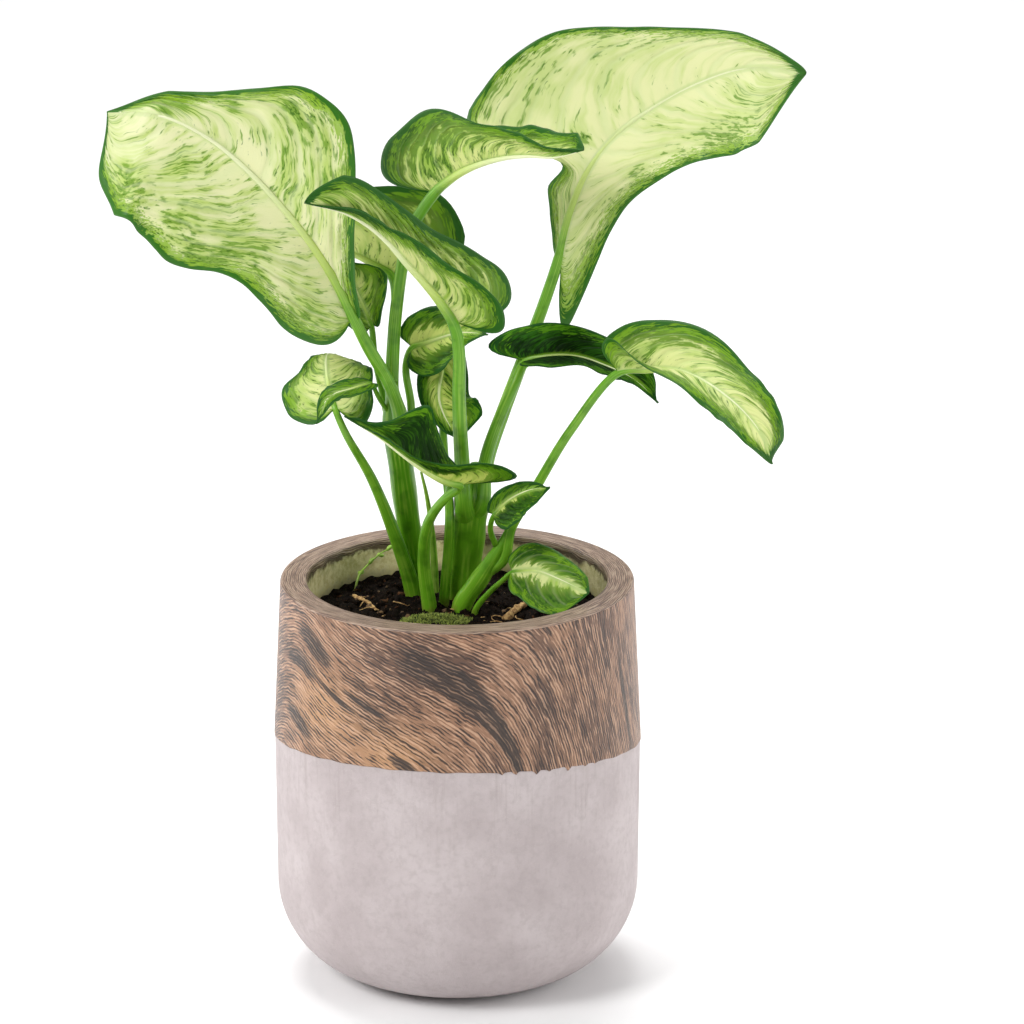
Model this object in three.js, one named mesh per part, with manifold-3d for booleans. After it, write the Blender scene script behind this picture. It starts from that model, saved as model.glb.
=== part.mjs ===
// A young dieffenbachia in a two-tone pot: concrete below, a wood-grained sleeve above.
// Millimetres, +Z up. The origin is the centre of the pot's flat foot, and -Y is the front.

import * as THREE from "three";
import Module from "manifold-3d";

const wasm = await Module();
wasm.setup();

// Pot
const FOOT_RADIUS = 34;
const BODY_RADIUS = 72.2;
const RIM_RADIUS = 69;
const BORE_RADIUS = 58.6;
const POT_HEIGHT = 160;
const SHOULDER_HEIGHT = 92;
const RIM_ROUND = 1.2;
const FLOOR_HEIGHT = 12;
const BORE_CORNER = 30;
const POT_SIDES = 40;
const POT_ROUND_STEPS = 7;
const BORE_ROUND_STEPS = 4;
const SOIL_SIDES = 28;
const SLEEVE_THICKNESS = 3;
const SLEEVE_LOW_END = 14;
const CUT_MARGIN = 8;
const CUT_DEPTH = 20;
const DIP_HEIGHT = 95.3;
const DIP_SLOPE_X = -0.018;
const DIP_SLOPE_Y = -0.125;

// Filling
const SOIL_HEIGHT = 143.5;
const SOIL_SLOPE = 0.9;
const SOIL_RINGS = [1, 0.86, 0.68, 0.48, 0.26];
const SOIL_EDGE = 12;
const SEAT_GAP = 0.3;

// Leaves
const BLADE_THICKNESS = 0.8;
const TIP_HALF_WIDTH = 0.5;
const STALK_SIDES = 7;
const RIDGE_END = 0.66;
const RIDGE_SINK = 0.1;
const RIDGE_TIP_RADIUS = 0.5;
const BASE_ROUND = 0.16;
const LOBE_ROUND = 0.06;
const TIP_ROUND = 0.14;
const WAY_REACH = 0.1;

const UP = new THREE.Vector3(0, 0, 1);
const vec = (p) => new THREE.Vector3(...p);
const mix = (a, b, t) => a + (b - a) * t;
const clamp01 = (t) => Math.min(1, Math.max(0, t));

// Solids and meshes

function solid(points, triangles) {
  const mesh = new wasm.Mesh({
    numProp: 3,
    vertProperties: new Float32Array(points.flatMap((p) => [p.x, p.y, p.z])),
    triVerts: new Uint32Array(triangles.flat()),
  });
  return new wasm.Manifold(mesh);
}

function largest(body) {
  const pieces = body.decompose();
  return pieces.reduce((a, b) => (a.volume() > b.volume() ? a : b));
}

function toMesh(name, body, colour, roughness) {
  const data = body.getMesh();
  const geometry = new THREE.BufferGeometry();
  geometry.setAttribute("position", new THREE.BufferAttribute(data.vertProperties, 3));
  geometry.setIndex(new THREE.BufferAttribute(data.triVerts, 1));
  geometry.computeVertexNormals();
  const material = new THREE.MeshStandardMaterial({ color: colour, roughness, metalness: 0 });
  const mesh = new THREE.Mesh(geometry, material);
  mesh.name = name;
  return mesh;
}

// A solid of revolution from a profile of [radius, height] that starts and ends on the axis,
// running up the outside. lift(x, y, z) may raise a point.
function turned(profile, sides, lift = () => 0) {
  const points = [];
  const rings = profile.map(([radius, height]) => {
    const count = radius > 0 ? sides : 1;
    return Array.from({ length: count }, (_, i) => {
      const angle = (2 * Math.PI * i) / sides;
      const x = radius * Math.cos(angle);
      const y = radius * Math.sin(angle);
      points.push(new THREE.Vector3(x, y, height + lift(x, y, height)));
      return points.length - 1;
    });
  });
  const triangles = [];
  for (let k = 0; k + 1 < rings.length; k += 1) {
    for (let i = 0; i < sides; i += 1) {
      const j = (i + 1) % sides;
      const low = rings[k];
      const high = rings[k + 1];
      if (low.length > 1) triangles.push([low[i], low[j], high[high.length > 1 ? j : 0]]);
      if (high.length > 1) triangles.push([low[low.length > 1 ? i : 0], high[j], high[i]]);
    }
  }
  return solid(points, triangles);
}

// A round bar through a list of points, with a radius for each step from 0 to 1.
function bar(path, radiusAt, steps, sides = STALK_SIDES) {
  const curve = new THREE.CatmullRomCurve3(path.map(vec), false, "centripetal");
  const points = [];
  const side = new THREE.Vector3();
  for (let k = 0; k <= steps; k += 1) {
    const t = k / steps;
    const way = curve.getTangentAt(t);
    if (k === 0) side.crossVectors(way, Math.abs(way.y) < 0.9 ? new THREE.Vector3(0, 1, 0) : UP);
    side.addScaledVector(way, -side.dot(way)).normalize();
    const other = new THREE.Vector3().crossVectors(way, side);
    const centre = curve.getPointAt(t);
    for (let i = 0; i < sides; i += 1) {
      const angle = (2 * Math.PI * i) / sides;
      const radius = radiusAt(t);
      points.push(
        centre
          .clone()
          .addScaledVector(side, radius * Math.cos(angle))
          .addScaledVector(other, radius * Math.sin(angle)),
      );
    }
  }
  const triangles = [];
  for (let k = 0; k < steps; k += 1) {
    for (let i = 0; i < sides; i += 1) {
      const j = (i + 1) % sides;
      const low = k * sides;
      const high = low + sides;
      triangles.push([low + i, low + j, high + j], [low + i, high + j, high + i]);
    }
  }
  const last = steps * sides;
  for (let i = 1; i + 1 < sides; i += 1) {
    triangles.push([0, i + 1, i], [last, last + i, last + i + 1]);
  }
  return solid(points, triangles);
}

// Pot

function potProfile() {
  const outside = [[0, 0], [FOOT_RADIUS, 0]];
  const round = BODY_RADIUS - FOOT_RADIUS;
  for (let k = 1; k <= POT_ROUND_STEPS; k += 1) {
    const angle = (Math.PI / 2) * (k / POT_ROUND_STEPS);
    outside.push([FOOT_RADIUS + round * Math.sin(angle), round * (1 - Math.cos(angle))]);
  }
  outside.push([BODY_RADIUS, SHOULDER_HEIGHT], [RIM_RADIUS, POT_HEIGHT - RIM_ROUND]);
  outside.push([RIM_RADIUS - RIM_ROUND, POT_HEIGHT]);
  const inside = [[BORE_RADIUS + RIM_ROUND, POT_HEIGHT], [BORE_RADIUS, POT_HEIGHT - RIM_ROUND]];
  for (let k = 0; k <= BORE_ROUND_STEPS; k += 1) {
    const angle = (Math.PI / 2) * (k / BORE_ROUND_STEPS);
    const radius = BORE_RADIUS - BORE_CORNER * (1 - Math.cos(angle));
    inside.push([radius, FLOOR_HEIGHT + BORE_CORNER * (1 - Math.sin(angle))]);
  }
  inside.push([0, FLOOR_HEIGHT]);
  return [...outside, ...inside];
}

// What lies above the dip line and outside the sleeve's inner face, moved in by a clearance.
function sleeveZone(clearance) {
  const inner = SLEEVE_THICKNESS + clearance;
  const top = POT_HEIGHT - SLEEVE_THICKNESS - clearance;
  const reach = BODY_RADIUS + CUT_MARGIN;
  const slope = (BODY_RADIUS - RIM_RADIUS) / (POT_HEIGHT - SHOULDER_HEIGHT);
  const radiusAt = (z) => BODY_RADIUS - Math.max(0, z - SHOULDER_HEIGHT) * slope - inner;
  const low = DIP_HEIGHT - SLEEVE_LOW_END;
  const ring = [
    [0, top],
    [radiusAt(top), top],
    [radiusAt(SHOULDER_HEIGHT), SHOULDER_HEIGHT],
    [radiusAt(low), low],
    [reach, low],
    [reach, POT_HEIGHT + CUT_MARGIN],
    [0, POT_HEIGHT + CUT_MARGIN],
  ];
  const zone = turned(ring, POT_SIDES);
  // A block whose top face, the ring at height 0, is lifted to the slanted dip line.
  const slab = [
    [0, low - CUT_DEPTH],
    [reach + CUT_MARGIN, low - CUT_DEPTH],
    [reach + CUT_MARGIN, 0],
    [0, 0],
  ];
  const dipAt = (x, y) => DIP_HEIGHT + DIP_SLOPE_X * x + DIP_SLOPE_Y * y - clearance;
  const under = turned(slab, 8, (x, y, z) => (z === 0 ? dipAt(x, y) : 0));
  return zone.subtract(under);
}

function makePot() {
  const whole = turned(potProfile(), POT_SIDES);
  const concrete = whole.subtract(sleeveZone(SEAT_GAP));
  const sleeve = whole.intersect(sleeveZone(0));
  return { concrete: largest(concrete), sleeve: largest(sleeve) };
}

// Soil

function soilLift(x, y) {
  const lumps = Math.sin(x * 0.31 + 1.2) * Math.cos(y * 0.27) + 0.6 * Math.sin(x * 0.53 - y * 0.47);
  return SOIL_SLOPE * lumps * clamp01((BORE_RADIUS - Math.hypot(x, y)) / SOIL_EDGE);
}

function makeSoil(cutters) {
  const radius = BORE_RADIUS - SEAT_GAP;
  const floor = FLOOR_HEIGHT + SEAT_GAP;
  const profile = [[0, floor]];
  for (let k = BORE_ROUND_STEPS; k >= 0; k -= 1) {
    const angle = (Math.PI / 2) * (k / BORE_ROUND_STEPS);
    profile.push([
      radius - BORE_CORNER * (1 - Math.cos(angle)),
      floor + BORE_CORNER * (1 - Math.sin(angle)),
    ]);
  }
  for (const share of SOIL_RINGS) profile.push([radius * share, SOIL_HEIGHT]);
  profile.push([0, SOIL_HEIGHT]);
  const lift = (x, y, z) => (z === SOIL_HEIGHT ? soilLift(x, y) : 0);
  let soil = turned(profile, SOIL_SIDES, lift);
  for (const cutter of cutters) soil = soil.subtract(cutter);
  return largest(soil);
}

// Leaf blade

// The value at t, 0..1, on a smooth curve through a list of values at even steps.
function along(list, t) {
  const place = clamp01(t) * (list.length - 1);
  const k = Math.min(list.length - 2, Math.floor(place));
  const f = place - k;
  const [p, q] = [list[k], list[k + 1]];
  const before = k > 0 ? list[k - 1] : 2 * p - q;
  const after = k + 2 < list.length ? list[k + 2] : 2 * q - p;
  const [m, n] = [(q - before) / 2, (after - p) / 2];
  return p + f * (m + f * (3 * (q - p) - 2 * m - n + f * (m + n - 2 * (q - p))));
}

const OVATE = [0.8, 0.97, 1, 0.9, 0.7, 0.4, 0];
const ovate = (width) => OVATE.map((share) => share * width);

// leaf.rib runs from the stalk to the tip. leaf.face gives the way the upper side looks at both
// ends. Each half has its widths from the stalk to the tip, a lobe that reaches back past the
// stalk, and the angles by which it rises (or hangs, below 0) from the midrib, base to tip.
// forward, late and slide move its margin along the midrib, towards the tip when above 0.
class Blade {
  constructor(leaf) {
    this.leaf = leaf;
    this.curve = new THREE.CatmullRomCurve3(leaf.rib.map(vec), false, "centripetal");
    this.length = this.curve.getLength();
  }

  frameAt(a) {
    const t = clamp01(a / this.length);
    const behind = this.curve.getPointAt(Math.max(0, t - WAY_REACH));
    const way = this.curve.getPointAt(Math.min(1, t + WAY_REACH)).sub(behind).normalize();
    const centre = this.curve.getPointAt(t).addScaledVector(way, a - t * this.length);
    const face = vec(this.leaf.face[0]).lerp(vec(this.leaf.face[1]), t);
    face.addScaledVector(way, -face.dot(way)).normalize();
    return { t, centre, face, right: new THREE.Vector3().crossVectors(way, face) };
  }

  // v runs from -1, the left margin, over 0, the midrib, to 1, the right margin.
  pointAt(u, v) {
    const half = v < 0 ? this.leaf.left : this.leaf.right;
    const reach = Math.abs(v);
    const corner = Math.sqrt(1 - (1 - clamp01(u / BASE_ROUND)) ** 2);
    const blunt = Math.sqrt(clamp01((1 - u) / TIP_ROUND));
    const wide = Math.max(TIP_HALF_WIDTH, along(half.widths, u) * corner * blunt);
    const back = half.lobe * (1 - u) ** 6 * Math.sqrt(1 - (1 - clamp01(u / LOBE_ROUND)) ** 2);
    const push = (half.forward ?? 0) * Math.sin(Math.PI * u ** (half.late ?? 1.6));
    const sweep = push + along(half.slide ?? [0, 0], u) - back;
    const frame = this.frameAt(this.length * u + reach ** 1.4 * sweep);
    const angle = THREE.MathUtils.degToRad(along(half.fold, frame.t));
    const out = reach * wide;
    const across = out * Math.cos(angle);
    const rise = out * Math.sin(angle);
    const sign = v < 0 ? -1 : 1;
    const normal = frame.face.clone();
    const lean = v === 0 ? 0 : angle;
    normal.multiplyScalar(Math.cos(lean)).addScaledVector(frame.right, -sign * Math.sin(lean));
    const [height, count, phase] = this.leaf.wave ?? [0, 1, 0];
    const ripple = height * reach ** 2.5 * Math.sin(2 * Math.PI * (count * u + phase + (v < 0 ? 0.35 : 0)));
    const fade = Math.sin(Math.PI * clamp01(u * 0.9 + 0.06));
    const place = frame.centre
      .clone()
      .addScaledVector(frame.right, sign * across)
      .addScaledVector(frame.face, rise)
      .addScaledVector(normal, ripple * fade);
    return { point: place, normal };
  }

  // The blade as one closed sheet, split into triangles alike on both faces.
  solid(rows, columns) {
    const points = [];
    const across = 2 * columns + 1;
    const count = (rows + 1) * across;
    for (const side of [1, -1]) {
      for (let i = 0; i <= rows; i += 1) {
        const even = i / rows;
        const u = mix(even, (1 - Math.cos(Math.PI * even)) / 2, 0.6);
        for (let j = -columns; j <= columns; j += 1) {
          const { point, normal } = this.pointAt(clamp01(u), j / columns);
          points.push(point.addScaledVector(normal, (side * BLADE_THICKNESS) / 2));
        }
      }
    }
    const triangles = [];
    const add = (a, b, c) => triangles.push([a, c, b], [count + a, count + b, count + c]);
    for (let i = 0; i < rows; i += 1) {
      for (let j = 0; j + 1 < across; j += 1) {
        const a = i * across + j;
        const d = a + across;
        if (j < columns) {
          add(a, d + 1, a + 1);
          add(a, d, d + 1);
        } else {
          add(a, d, a + 1);
          add(a + 1, d, d + 1);
        }
      }
    }
    const edge = [];
    for (let j = 0; j < across; j += 1) edge.push(j);
    for (let i = 1; i <= rows; i += 1) edge.push(i * across + across - 1);
    for (let j = across - 2; j >= 0; j -= 1) edge.push(rows * across + j);
    for (let i = rows - 1; i > 0; i -= 1) edge.push(i * across);
    edge.forEach((a, k) => {
      const b = edge[(k + 1) % edge.length];
      triangles.push([b, a, count + a], [b, count + a, count + b]);
    });
    return solid(points, triangles);
  }
}

// Stalk of a leaf: from its foot to the blade, then along it as the raised midrib, on the under
// side unless leaf.ribSide is 1.
function stalkPath(leaf, blade) {
  const path = leaf.stalk.map((p) => [...p]);
  const ridge = [];
  for (let k = 0; k <= 3; k += 1) {
    const share = (RIDGE_END * k) / 3;
    const { centre, face } = blade.frameAt(blade.length * share);
    const radius = mix(leaf.thick[1], RIDGE_TIP_RADIUS, share / RIDGE_END);
    ridge.push(centre.addScaledVector(face, (leaf.ribSide ?? -1) * (radius - RIDGE_SINK)).toArray());
  }
  const lengths = (list) => new THREE.CatmullRomCurve3(list.map(vec), false, "centripetal").getLength();
  const bare = path.length > 0 ? lengths([...path, ridge[0]]) : 0;
  return { path: [...path, ...ridge], bareShare: bare / (bare + blade.length * RIDGE_END) };
}

function makeStalk(leaf, blade, extra = 0) {
  const { path, bareShare } = stalkPath(leaf, blade);
  const radiusAt = (t) => {
    const radius =
      t < bareShare
        ? mix(leaf.thick[0], leaf.thick[1], (t / bareShare) ** 0.7)
        : mix(leaf.thick[1], RIDGE_TIP_RADIUS, (t - bareShare) / (1 - bareShare));
    return radius + extra;
  };
  const steps = leaf.steps ?? 12;
  const back = vec(path[0]).sub(vec(path[1])).setLength(extra);
  path[0] = vec(path[0]).add(back).toArray();
  return bar(path, radiusAt, steps);
}

function makeLeaf(leaf) {
  const blade = new Blade(leaf);
  const [rows, columns] = leaf.grid;
  return largest(blade.solid(rows, columns).add(makeStalk(leaf, blade)));
}

// The leaves. thick is the stalk's radius at its foot and at the blade.
const LEAVES = [
  {
    name: "leaf_big_left",
    rib: [
      [-40, 0, 265], [-48, -4, 283], [-60, -9, 303], [-74, -13, 321],
      [-91, -16, 338], [-113, -16, 349], [-132.5, -9, 348.5],
    ],
    face: [[0.15, -0.93, 0.35], [-0.3, -0.85, 0.5]],
    left: {
      widths: [25, 26.5, 28, 29, 30, 31, 35, 42, 46, 46, 45, 44, 42, 40.5, 39, 37, 34],
      lobe: 9,
      forward: 12,
      late: 3,
      slide: [0, 0, 0, 0, 0, 0, 0, 0, 0, 0, 0, 0, 0, 0, 1.5, 4.5, 0],
      fold: [20, 5, -5, -10],
    },
    right: {
      widths: [10, 9, 9.5, 13, 18.5, 25, 31, 37, 41.5, 41.5, 37.5, 26.5, 18.5, 14, 11, 8.5, 6],
      lobe: 3,
      forward: -4,
      fold: [60, 35, 0, -40],
    },
    wave: [1.8, 3.4, 0.1],
    ribSide: 1,
    stalk: [[-22, 5, 220], [-23, 4, 228], [-27, 4, 239], [-34, 3, 252]],
    thick: [2.8, 2.3],
    grid: [18, 5],
    seat: "cane_left",
  },
  {
    name: "leaf_big_right",
    rib: [
      [40, 26, 281], [44, 22, 300], [50, 21, 316], [58, 19, 329],
      [70, 16, 340], [89, 8, 354], [112, -2, 364], [133, -10, 364],
    ],
    face: [[0.32, -0.94, 0.1], [-0.1, -0.9, 0.4]],
    left: {
      widths: [8, 8, 10.5, 13.5, 12, 50, 51, 49, 46, 40, 33.5, 28, 22.5, 17.5, 13, 10.5, 8],
      lobe: 2,
      forward: -8,
      slide: [0, 0, 0, 0, 3.5, -13, -4, 0, 0, 0, 0, 0, 0, 0, 0, 0, 0],
      fold: [-60, -60, -25, -5, 0, 5, 5, 5, 5],
    },
    right: {
      widths: [12, 14, 18.5, 23.5, 26, 29.5, 32, 28.5, 6],
      lobe: 47,
      forward: 6,
      late: 3,
      fold: [20, 25, 15, 5],
    },
    wave: [1.5, 3.2, 0.5],
    stalk: [[9, 11, 190], [12, 14, 205], [18, 21, 221], [26, 28, 241], [34, 29, 263]],
    thick: [3.3, 2.2],
    grid: [22, 5],
    seat: "cane_main",
  },
  {
    name: "leaf_top_folded",
    rib: [[-9, 4, 314], [-2, -4, 322], [9, -18, 331], [24, -34, 338], [38, -48, 341], [48, -58, 346]],
    face: [[0, 0.45, 0.9], [0.2, 0.3, 0.9]],
    left: { widths: [15, 18, 19, 15, 13, 12, 6], lobe: 8, forward: 4, fold: [60, 60, 55] },
    right: { widths: [27, 26.5, 28, 20, 12, 6, 2], lobe: 22, forward: 4, fold: [42, 35, 20] },
    wave: [1.0, 3, 0.2],
    stalk: [[-25, 12, 226], [-25, 13, 243], [-23, 14, 268], [-18, 12, 295]],
    thick: [2.8, 2.2],
    grid: [12, 4],
    seat: "cane_left",
  },
  {
    name: "leaf_centre_folded",
    rib: [
      [0, -18, 268], [-7, -25, 281], [-17, -35, 295],
      [-27, -45, 309], [-39, -54, 320], [-56, -63, 327],
    ],
    face: [[0.45, 0.45, 0.75], [0.4, 0.1, 0.9]],
    left: { widths: [24, 19, 13, 9.5, 6, 3.5, 0], lobe: 19, forward: 3, fold: [35, 38, 30] },
    right: { widths: [43, 26, 18, 14, 13, 14, 12], lobe: 26, forward: 4, fold: [90, 95, 95] },
    wave: [1.0, 3, 0.6],
    stalk: [[3, 0, 190], [2, -3, 208], [1, -8, 233], [1, -14, 256]],
    thick: [3.4, 2.3],
    grid: [12, 4],
    seat: "cane_main",
  },
  {
    name: "leaf_back_left",
    rib: [[-25, 38, 272], [-36, 44, 277], [-50, 52, 280], [-65, 60, 278], [-78, 68, 272]],
    face: [[0.1, 0.7, 0.7], [-0.1, 0.3, 0.9]],
    left: { widths: [42, 38, 31, 24, 18, 10, 0], lobe: 33, forward: 3, fold: [45, 25, 12] },
    right: { widths: [17, 18, 18, 17, 14, 8, 0], lobe: 4, forward: 3, fold: [24, 12, 10] },
    wave: [1.0, 3, 0.3],
    stalk: [[-24, 19, 210], [-25, 24, 228], [-25, 31, 247], [-24, 36, 262]],
    thick: [2.2, 1.8],
    grid: [10, 3],
    seat: "cane_left",
  },
  {
    name: "leaf_back_small",
    rib: [[-33, 20, 256], [-37, 22, 265], [-42, 26, 274], [-50, 33, 280]],
    face: [[0.2, -0.7, 0.6], [0.1, -0.3, 0.9]],
    left: { widths: ovate(10), lobe: 3, fold: [10, 5] },
    right: { widths: [4, 5.5, 9.5, 12.5, 14, 11, 7, 4, 0], lobe: 3, fold: [10, 5] },
    wave: [0.7, 2, 0.1],
    stalk: [[-26, 13, 217], [-29, 16, 230], [-32, 19, 244]],
    thick: [1.6, 1.2],
    grid: [8, 3],
    seat: "cane_left",
  },
  {
    name: "leaf_back_centre",
    rib: [[-18, 25, 246], [-10, 24, 249], [1, 21, 253], [12, 15, 254]],
    face: [[0, -0.5, 0.8], [0.1, -0.3, 0.9]],
    left: { widths: [12, 14.5, 15, 12, 8, 5, 0], lobe: 6, forward: 2, fold: [15, 10] },
    right: { widths: ovate(14), lobe: 6, forward: 2, fold: [-30, -5] },
    wave: [0.8, 2.5, 0.1],
    stalk: [[-18, 15, 210], [-18, 20, 224], [-20, 25, 238]],
    thick: [1.8, 1.4],
    grid: [9, 3],
    seat: "cane_left",
  },
  {
    name: "leaf_back_hanging",
    rib: [[-5, 28, 245], [-6, 25, 237], [-7, 18, 226], [0, 12, 212]],
    face: [[0, -0.6, 0.8], [0, -0.95, 0.1]],
    left: { widths: [9, 10, 12, 14, 15, 14, 8], lobe: 4, forward: 2, fold: [-25, -10] },
    right: { widths: [7, 8.5, 9, 7.5, 5, 3, 0], lobe: 5, forward: 2, fold: [-10, 0] },
    wave: [0.8, 2.5, 0.4],
    stalk: [
      [-6, 14, 132], [-5, 14, 150], [-3.5, 7, 170], [-3, 5, 186],
      [-5, 16, 205], [-6, 30, 225], [-6, 33, 238],
    ],
    thick: [2.3, 1.4],
    grid: [9, 3],
    steps: 15,
    seat: "soil",
  },
  {
    name: "leaf_low_left",
    rib: [[-47, -2, 229], [-50, 8, 237], [-51, 23, 243], [-48, 40, 239]],
    face: [[-0.1, -0.6, 0.8], [0, -0.1, 1]],
    left: { widths: [15, 18.5, 18, 11, 6, 3.5, 0], lobe: 7, forward: 2, fold: [-10, -20] },
    right: { widths: [14, 16, 18, 17.5, 15, 11, 4], lobe: 15, forward: 2, fold: [-10, -15] },
    wave: [0.9, 2.5, 0.2],
    stalk: [[-17, 28, 132], [-18, 27, 146], [-23, 20, 166], [-33, 8, 197], [-43, -2, 219]],
    thick: [4.0, 1.3],
    grid: [10, 3],
    steps: 15,
    seat: "soil",
  },
  {
    name: "leaf_small_left",
    rib: [[-33, 0, 239], [-40, -8, 239], [-49, -14, 237], [-54, -16, 227]],
    face: [[0, -0.3, 0.9], [-0.3, -0.5, 0.8]],
    left: { widths: ovate(6), lobe: 2, fold: [5, 5] },
    right: { widths: ovate(6), lobe: 2, fold: [5, 5] },
    stalk: [[-25, 11, 221], [-30, 5, 231]],
    thick: [1.1, 0.9],
    grid: [7, 2],
    steps: 6,
    seat: "cane_left",
  },
  {
    name: "leaf_low_front",
    rib: [[2, -17, 203], [-6, -22, 207], [-17, -25, 215], [-29, -24, 224], [-43, -19, 231]],
    face: [[0.3, -0.2, 0.95], [0.3, 0, 0.95]],
    left: { widths: [18, 14, 8, 5.5, 4, 3, 0], lobe: 29, fold: [72, 40, 10] },
    right: { widths: [6, 8, 12, 17, 21.5, 8.5, 3, 2, 0], lobe: 2, forward: 5, fold: [60, 55, 40] },
    wave: [0.6, 2.5, 0.2],
    stalk: [[-10, 9, 132], [-11, 9, 145], [-13, 6, 164], [-11, -3, 183], [-4, -12, 196]],
    thick: [3.6, 1.7],
    grid: [10, 3],
    steps: 14,
    seat: "soil",
  },
  {
    name: "leaf_right_shaded",
    rib: [[26, 9, 245], [35, 9, 247], [46, 9, 247], [57, 7, 244], [69, 3, 239], [78, -1, 231]],
    face: [[0, -0.1, 1], [0.2, -0.2, 0.9]],
    left: { widths: [19, 17, 14.5, 14, 12, 7, 0], lobe: 20, forward: 3, fold: [30, 25, 15] },
    right: { widths: [16, 19, 17.5, 12, 7, 4, 0], lobe: 4, forward: 3, fold: [12, 10, 10] },
    wave: [0.8, 2.5, 0.2],
    stalk: [[10, 2.5, 190], [11, 3, 206], [16, 4, 222], [23, 6, 238]],
    thick: [3.1, 1.9],
    grid: [11, 3],
    seat: "cane_main",
  },
  {
    name: "leaf_small_right",
    rib: [[14, -9, 188], [20, -12, 195], [28, -15, 200], [36, -18, 202]],
    face: [[-0.2, -0.7, 0.7], [-0.2, -0.6, 0.8]],
    left: { widths: ovate(6), lobe: 3, fold: [10, 5] },
    right: { widths: [8, 11, 13, 13, 11, 8, 3], lobe: 1, fold: [10, 5] },
    stalk: [[15, 3.5, 172], [13, -2, 180]],
    thick: [1.3, 1.0],
    grid: [7, 2],
    steps: 6,
    seat: "cane_right",
  },
  {
    name: "leaf_right_arching",
    rib: [
      [62, -12, 247], [72, -16, 249], [86, -22, 250], [99, -32, 246],
      [110, -42, 239], [117, -50, 231], [120, -56, 223],
    ],
    face: [[0.1, -0.5, 0.85], [0.7, -0.55, 0.3]],
    left: { widths: [23, 22, 21, 18, 15.5, 11, 0], lobe: 14, forward: 4, fold: [18, 8, 5] },
    right: { widths: [20, 17, 15, 13, 12, 11.5, 6], lobe: 8, forward: 4, fold: [100, 40, 5, -5, -5] },
    wave: [0.8, 2.5, 0.2],
    stalk: [[18, 4, 166], [21, 3, 179], [30, 1, 195], [44, -5, 221]],
    thick: [2.3, 1.6],
    grid: [12, 3],
    seat: "cane_right",
  },
  {
    name: "leaf_seedling",
    rib: [[21, -6, 164], [31, -14, 167], [40, -22, 166], [51, -30, 163]],
    face: [[0.1, -0.7, 0.7], [0.2, -0.8, 0.6]],
    left: { widths: [11, 12, 11, 9.5, 8, 6, 3], lobe: 6, forward: 2, fold: [8, 5] },
    right: { widths: [8, 12, 15, 17, 17, 14, 8], lobe: 0, forward: 4, fold: [8, 5] },
    stalk: [[6, 4, 133], [7, 3, 145], [12, 0, 153], [18, -4, 160]],
    thick: [1.5, 1.0],
    grid: [8, 3],
    steps: 9,
    seat: "soil",
  },
];

// Canes: the fleshy shoots that carry the sheaths of the leaf stalks.
const CANES = [
  {
    name: "cane_left",
    path: [
      [-16, 38, 132], [-16.5, 36, 146], [-19, 28, 170],
      [-22, 18, 200], [-24, 11, 222], [-25, 9, 236],
    ],
    radii: [4.6, 5.2],
  },
  {
    name: "cane_main",
    path: [[1, 25, 132], [2, 23, 146], [4, 15, 170], [6, 8, 190], [8, 5, 204]],
    radii: [6.2, 7.0],
  },
  {
    name: "cane_right",
    path: [[0, 9, 132], [2, 8, 146], [8, 6, 156], [15, 4, 168], [20, 3, 178]],
    radii: [4.0, 3.4],
  },
];

function makeCane(cane, extra = 0) {
  return bar(cane.path, (t) => mix(cane.radii[0], cane.radii[1], t) + extra, 7);
}

const SPEAR = { path: [[-9, 31, 132], [-9, 30, 148], [-10, 20, 172], [-12, 12, 190], [-14, 9, 200]] };

function makeSpear(extra = 0) {
  return bar(SPEAR.path, (t) => mix(1.6, 0.9, t) + extra, 8, 6);
}

// Small things on the soil

function makeMoss(extra = 0) {
  const rows = [[0, -3], [13.5 + extra, -2 - extra], [14 + extra, 0.4], [9, 1.9 + extra], [0, 2.6 + extra]];
  const base = turned(rows, 14, (x, y, z) => 0.4 * Math.sin(x * 0.9) * Math.cos(y * 1.3) * (z > 0 ? 1 : 0));
  return base.scale([1, 0.5, 1]).translate([-8, -6, SOIL_HEIGHT]);
}

function makeRoot(extra = 0) {
  const z = SOIL_HEIGHT + 0.6;
  const path = [[19, -4, z], [23, 3, z + 1.6], [26, 10, z + 1.2], [30, 20, z + 0.4]];
  return bar(path, (t) => mix(1.5, 0.8, t) + extra, 7, 6);
}

// Assembly

function assemble() {
  const group = new THREE.Group();
  const place = (name, body, colour, roughness) => group.add(toMesh(name, body, colour, roughness));
  const { concrete, sleeve } = makePot();
  place("concrete_pot", concrete, 0xcbc2bf, 0.9);
  place("wood_sleeve", sleeve, 0x8a6a52, 0.6);
  const blades = new Map(LEAVES.map((leaf) => [leaf, new Blade(leaf)]));
  const socketsOf = (seat) =>
    LEAVES.filter((leaf) => leaf.seat === seat).map((leaf) => makeStalk(leaf, blades.get(leaf), SEAT_GAP));
  const stems = [
    ...CANES.map((cane) => makeCane(cane, SEAT_GAP)),
    makeSpear(SEAT_GAP),
    makeMoss(SEAT_GAP),
    makeRoot(SEAT_GAP),
  ];
  place("soil", makeSoil([...socketsOf("soil"), ...stems]), 0x3a2c20, 0.95);
  place("moss_patch", makeMoss(), 0x5c8038, 0.95);
  place("dry_root", makeRoot(), 0xa8865a, 0.9);
  for (const cane of CANES) {
    const body = socketsOf(cane.name).reduce((cut, socket) => cut.subtract(socket), makeCane(cane));
    place(cane.name, largest(body), 0x6f9a2c, 0.45);
  }
  place("new_spear", makeSpear(), 0x9cbc58, 0.45);
  for (const leaf of LEAVES) place(leaf.name, makeLeaf(leaf), 0xa9c46c, 0.4);
  return group;
}

export default assemble();
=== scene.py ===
import math

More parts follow.
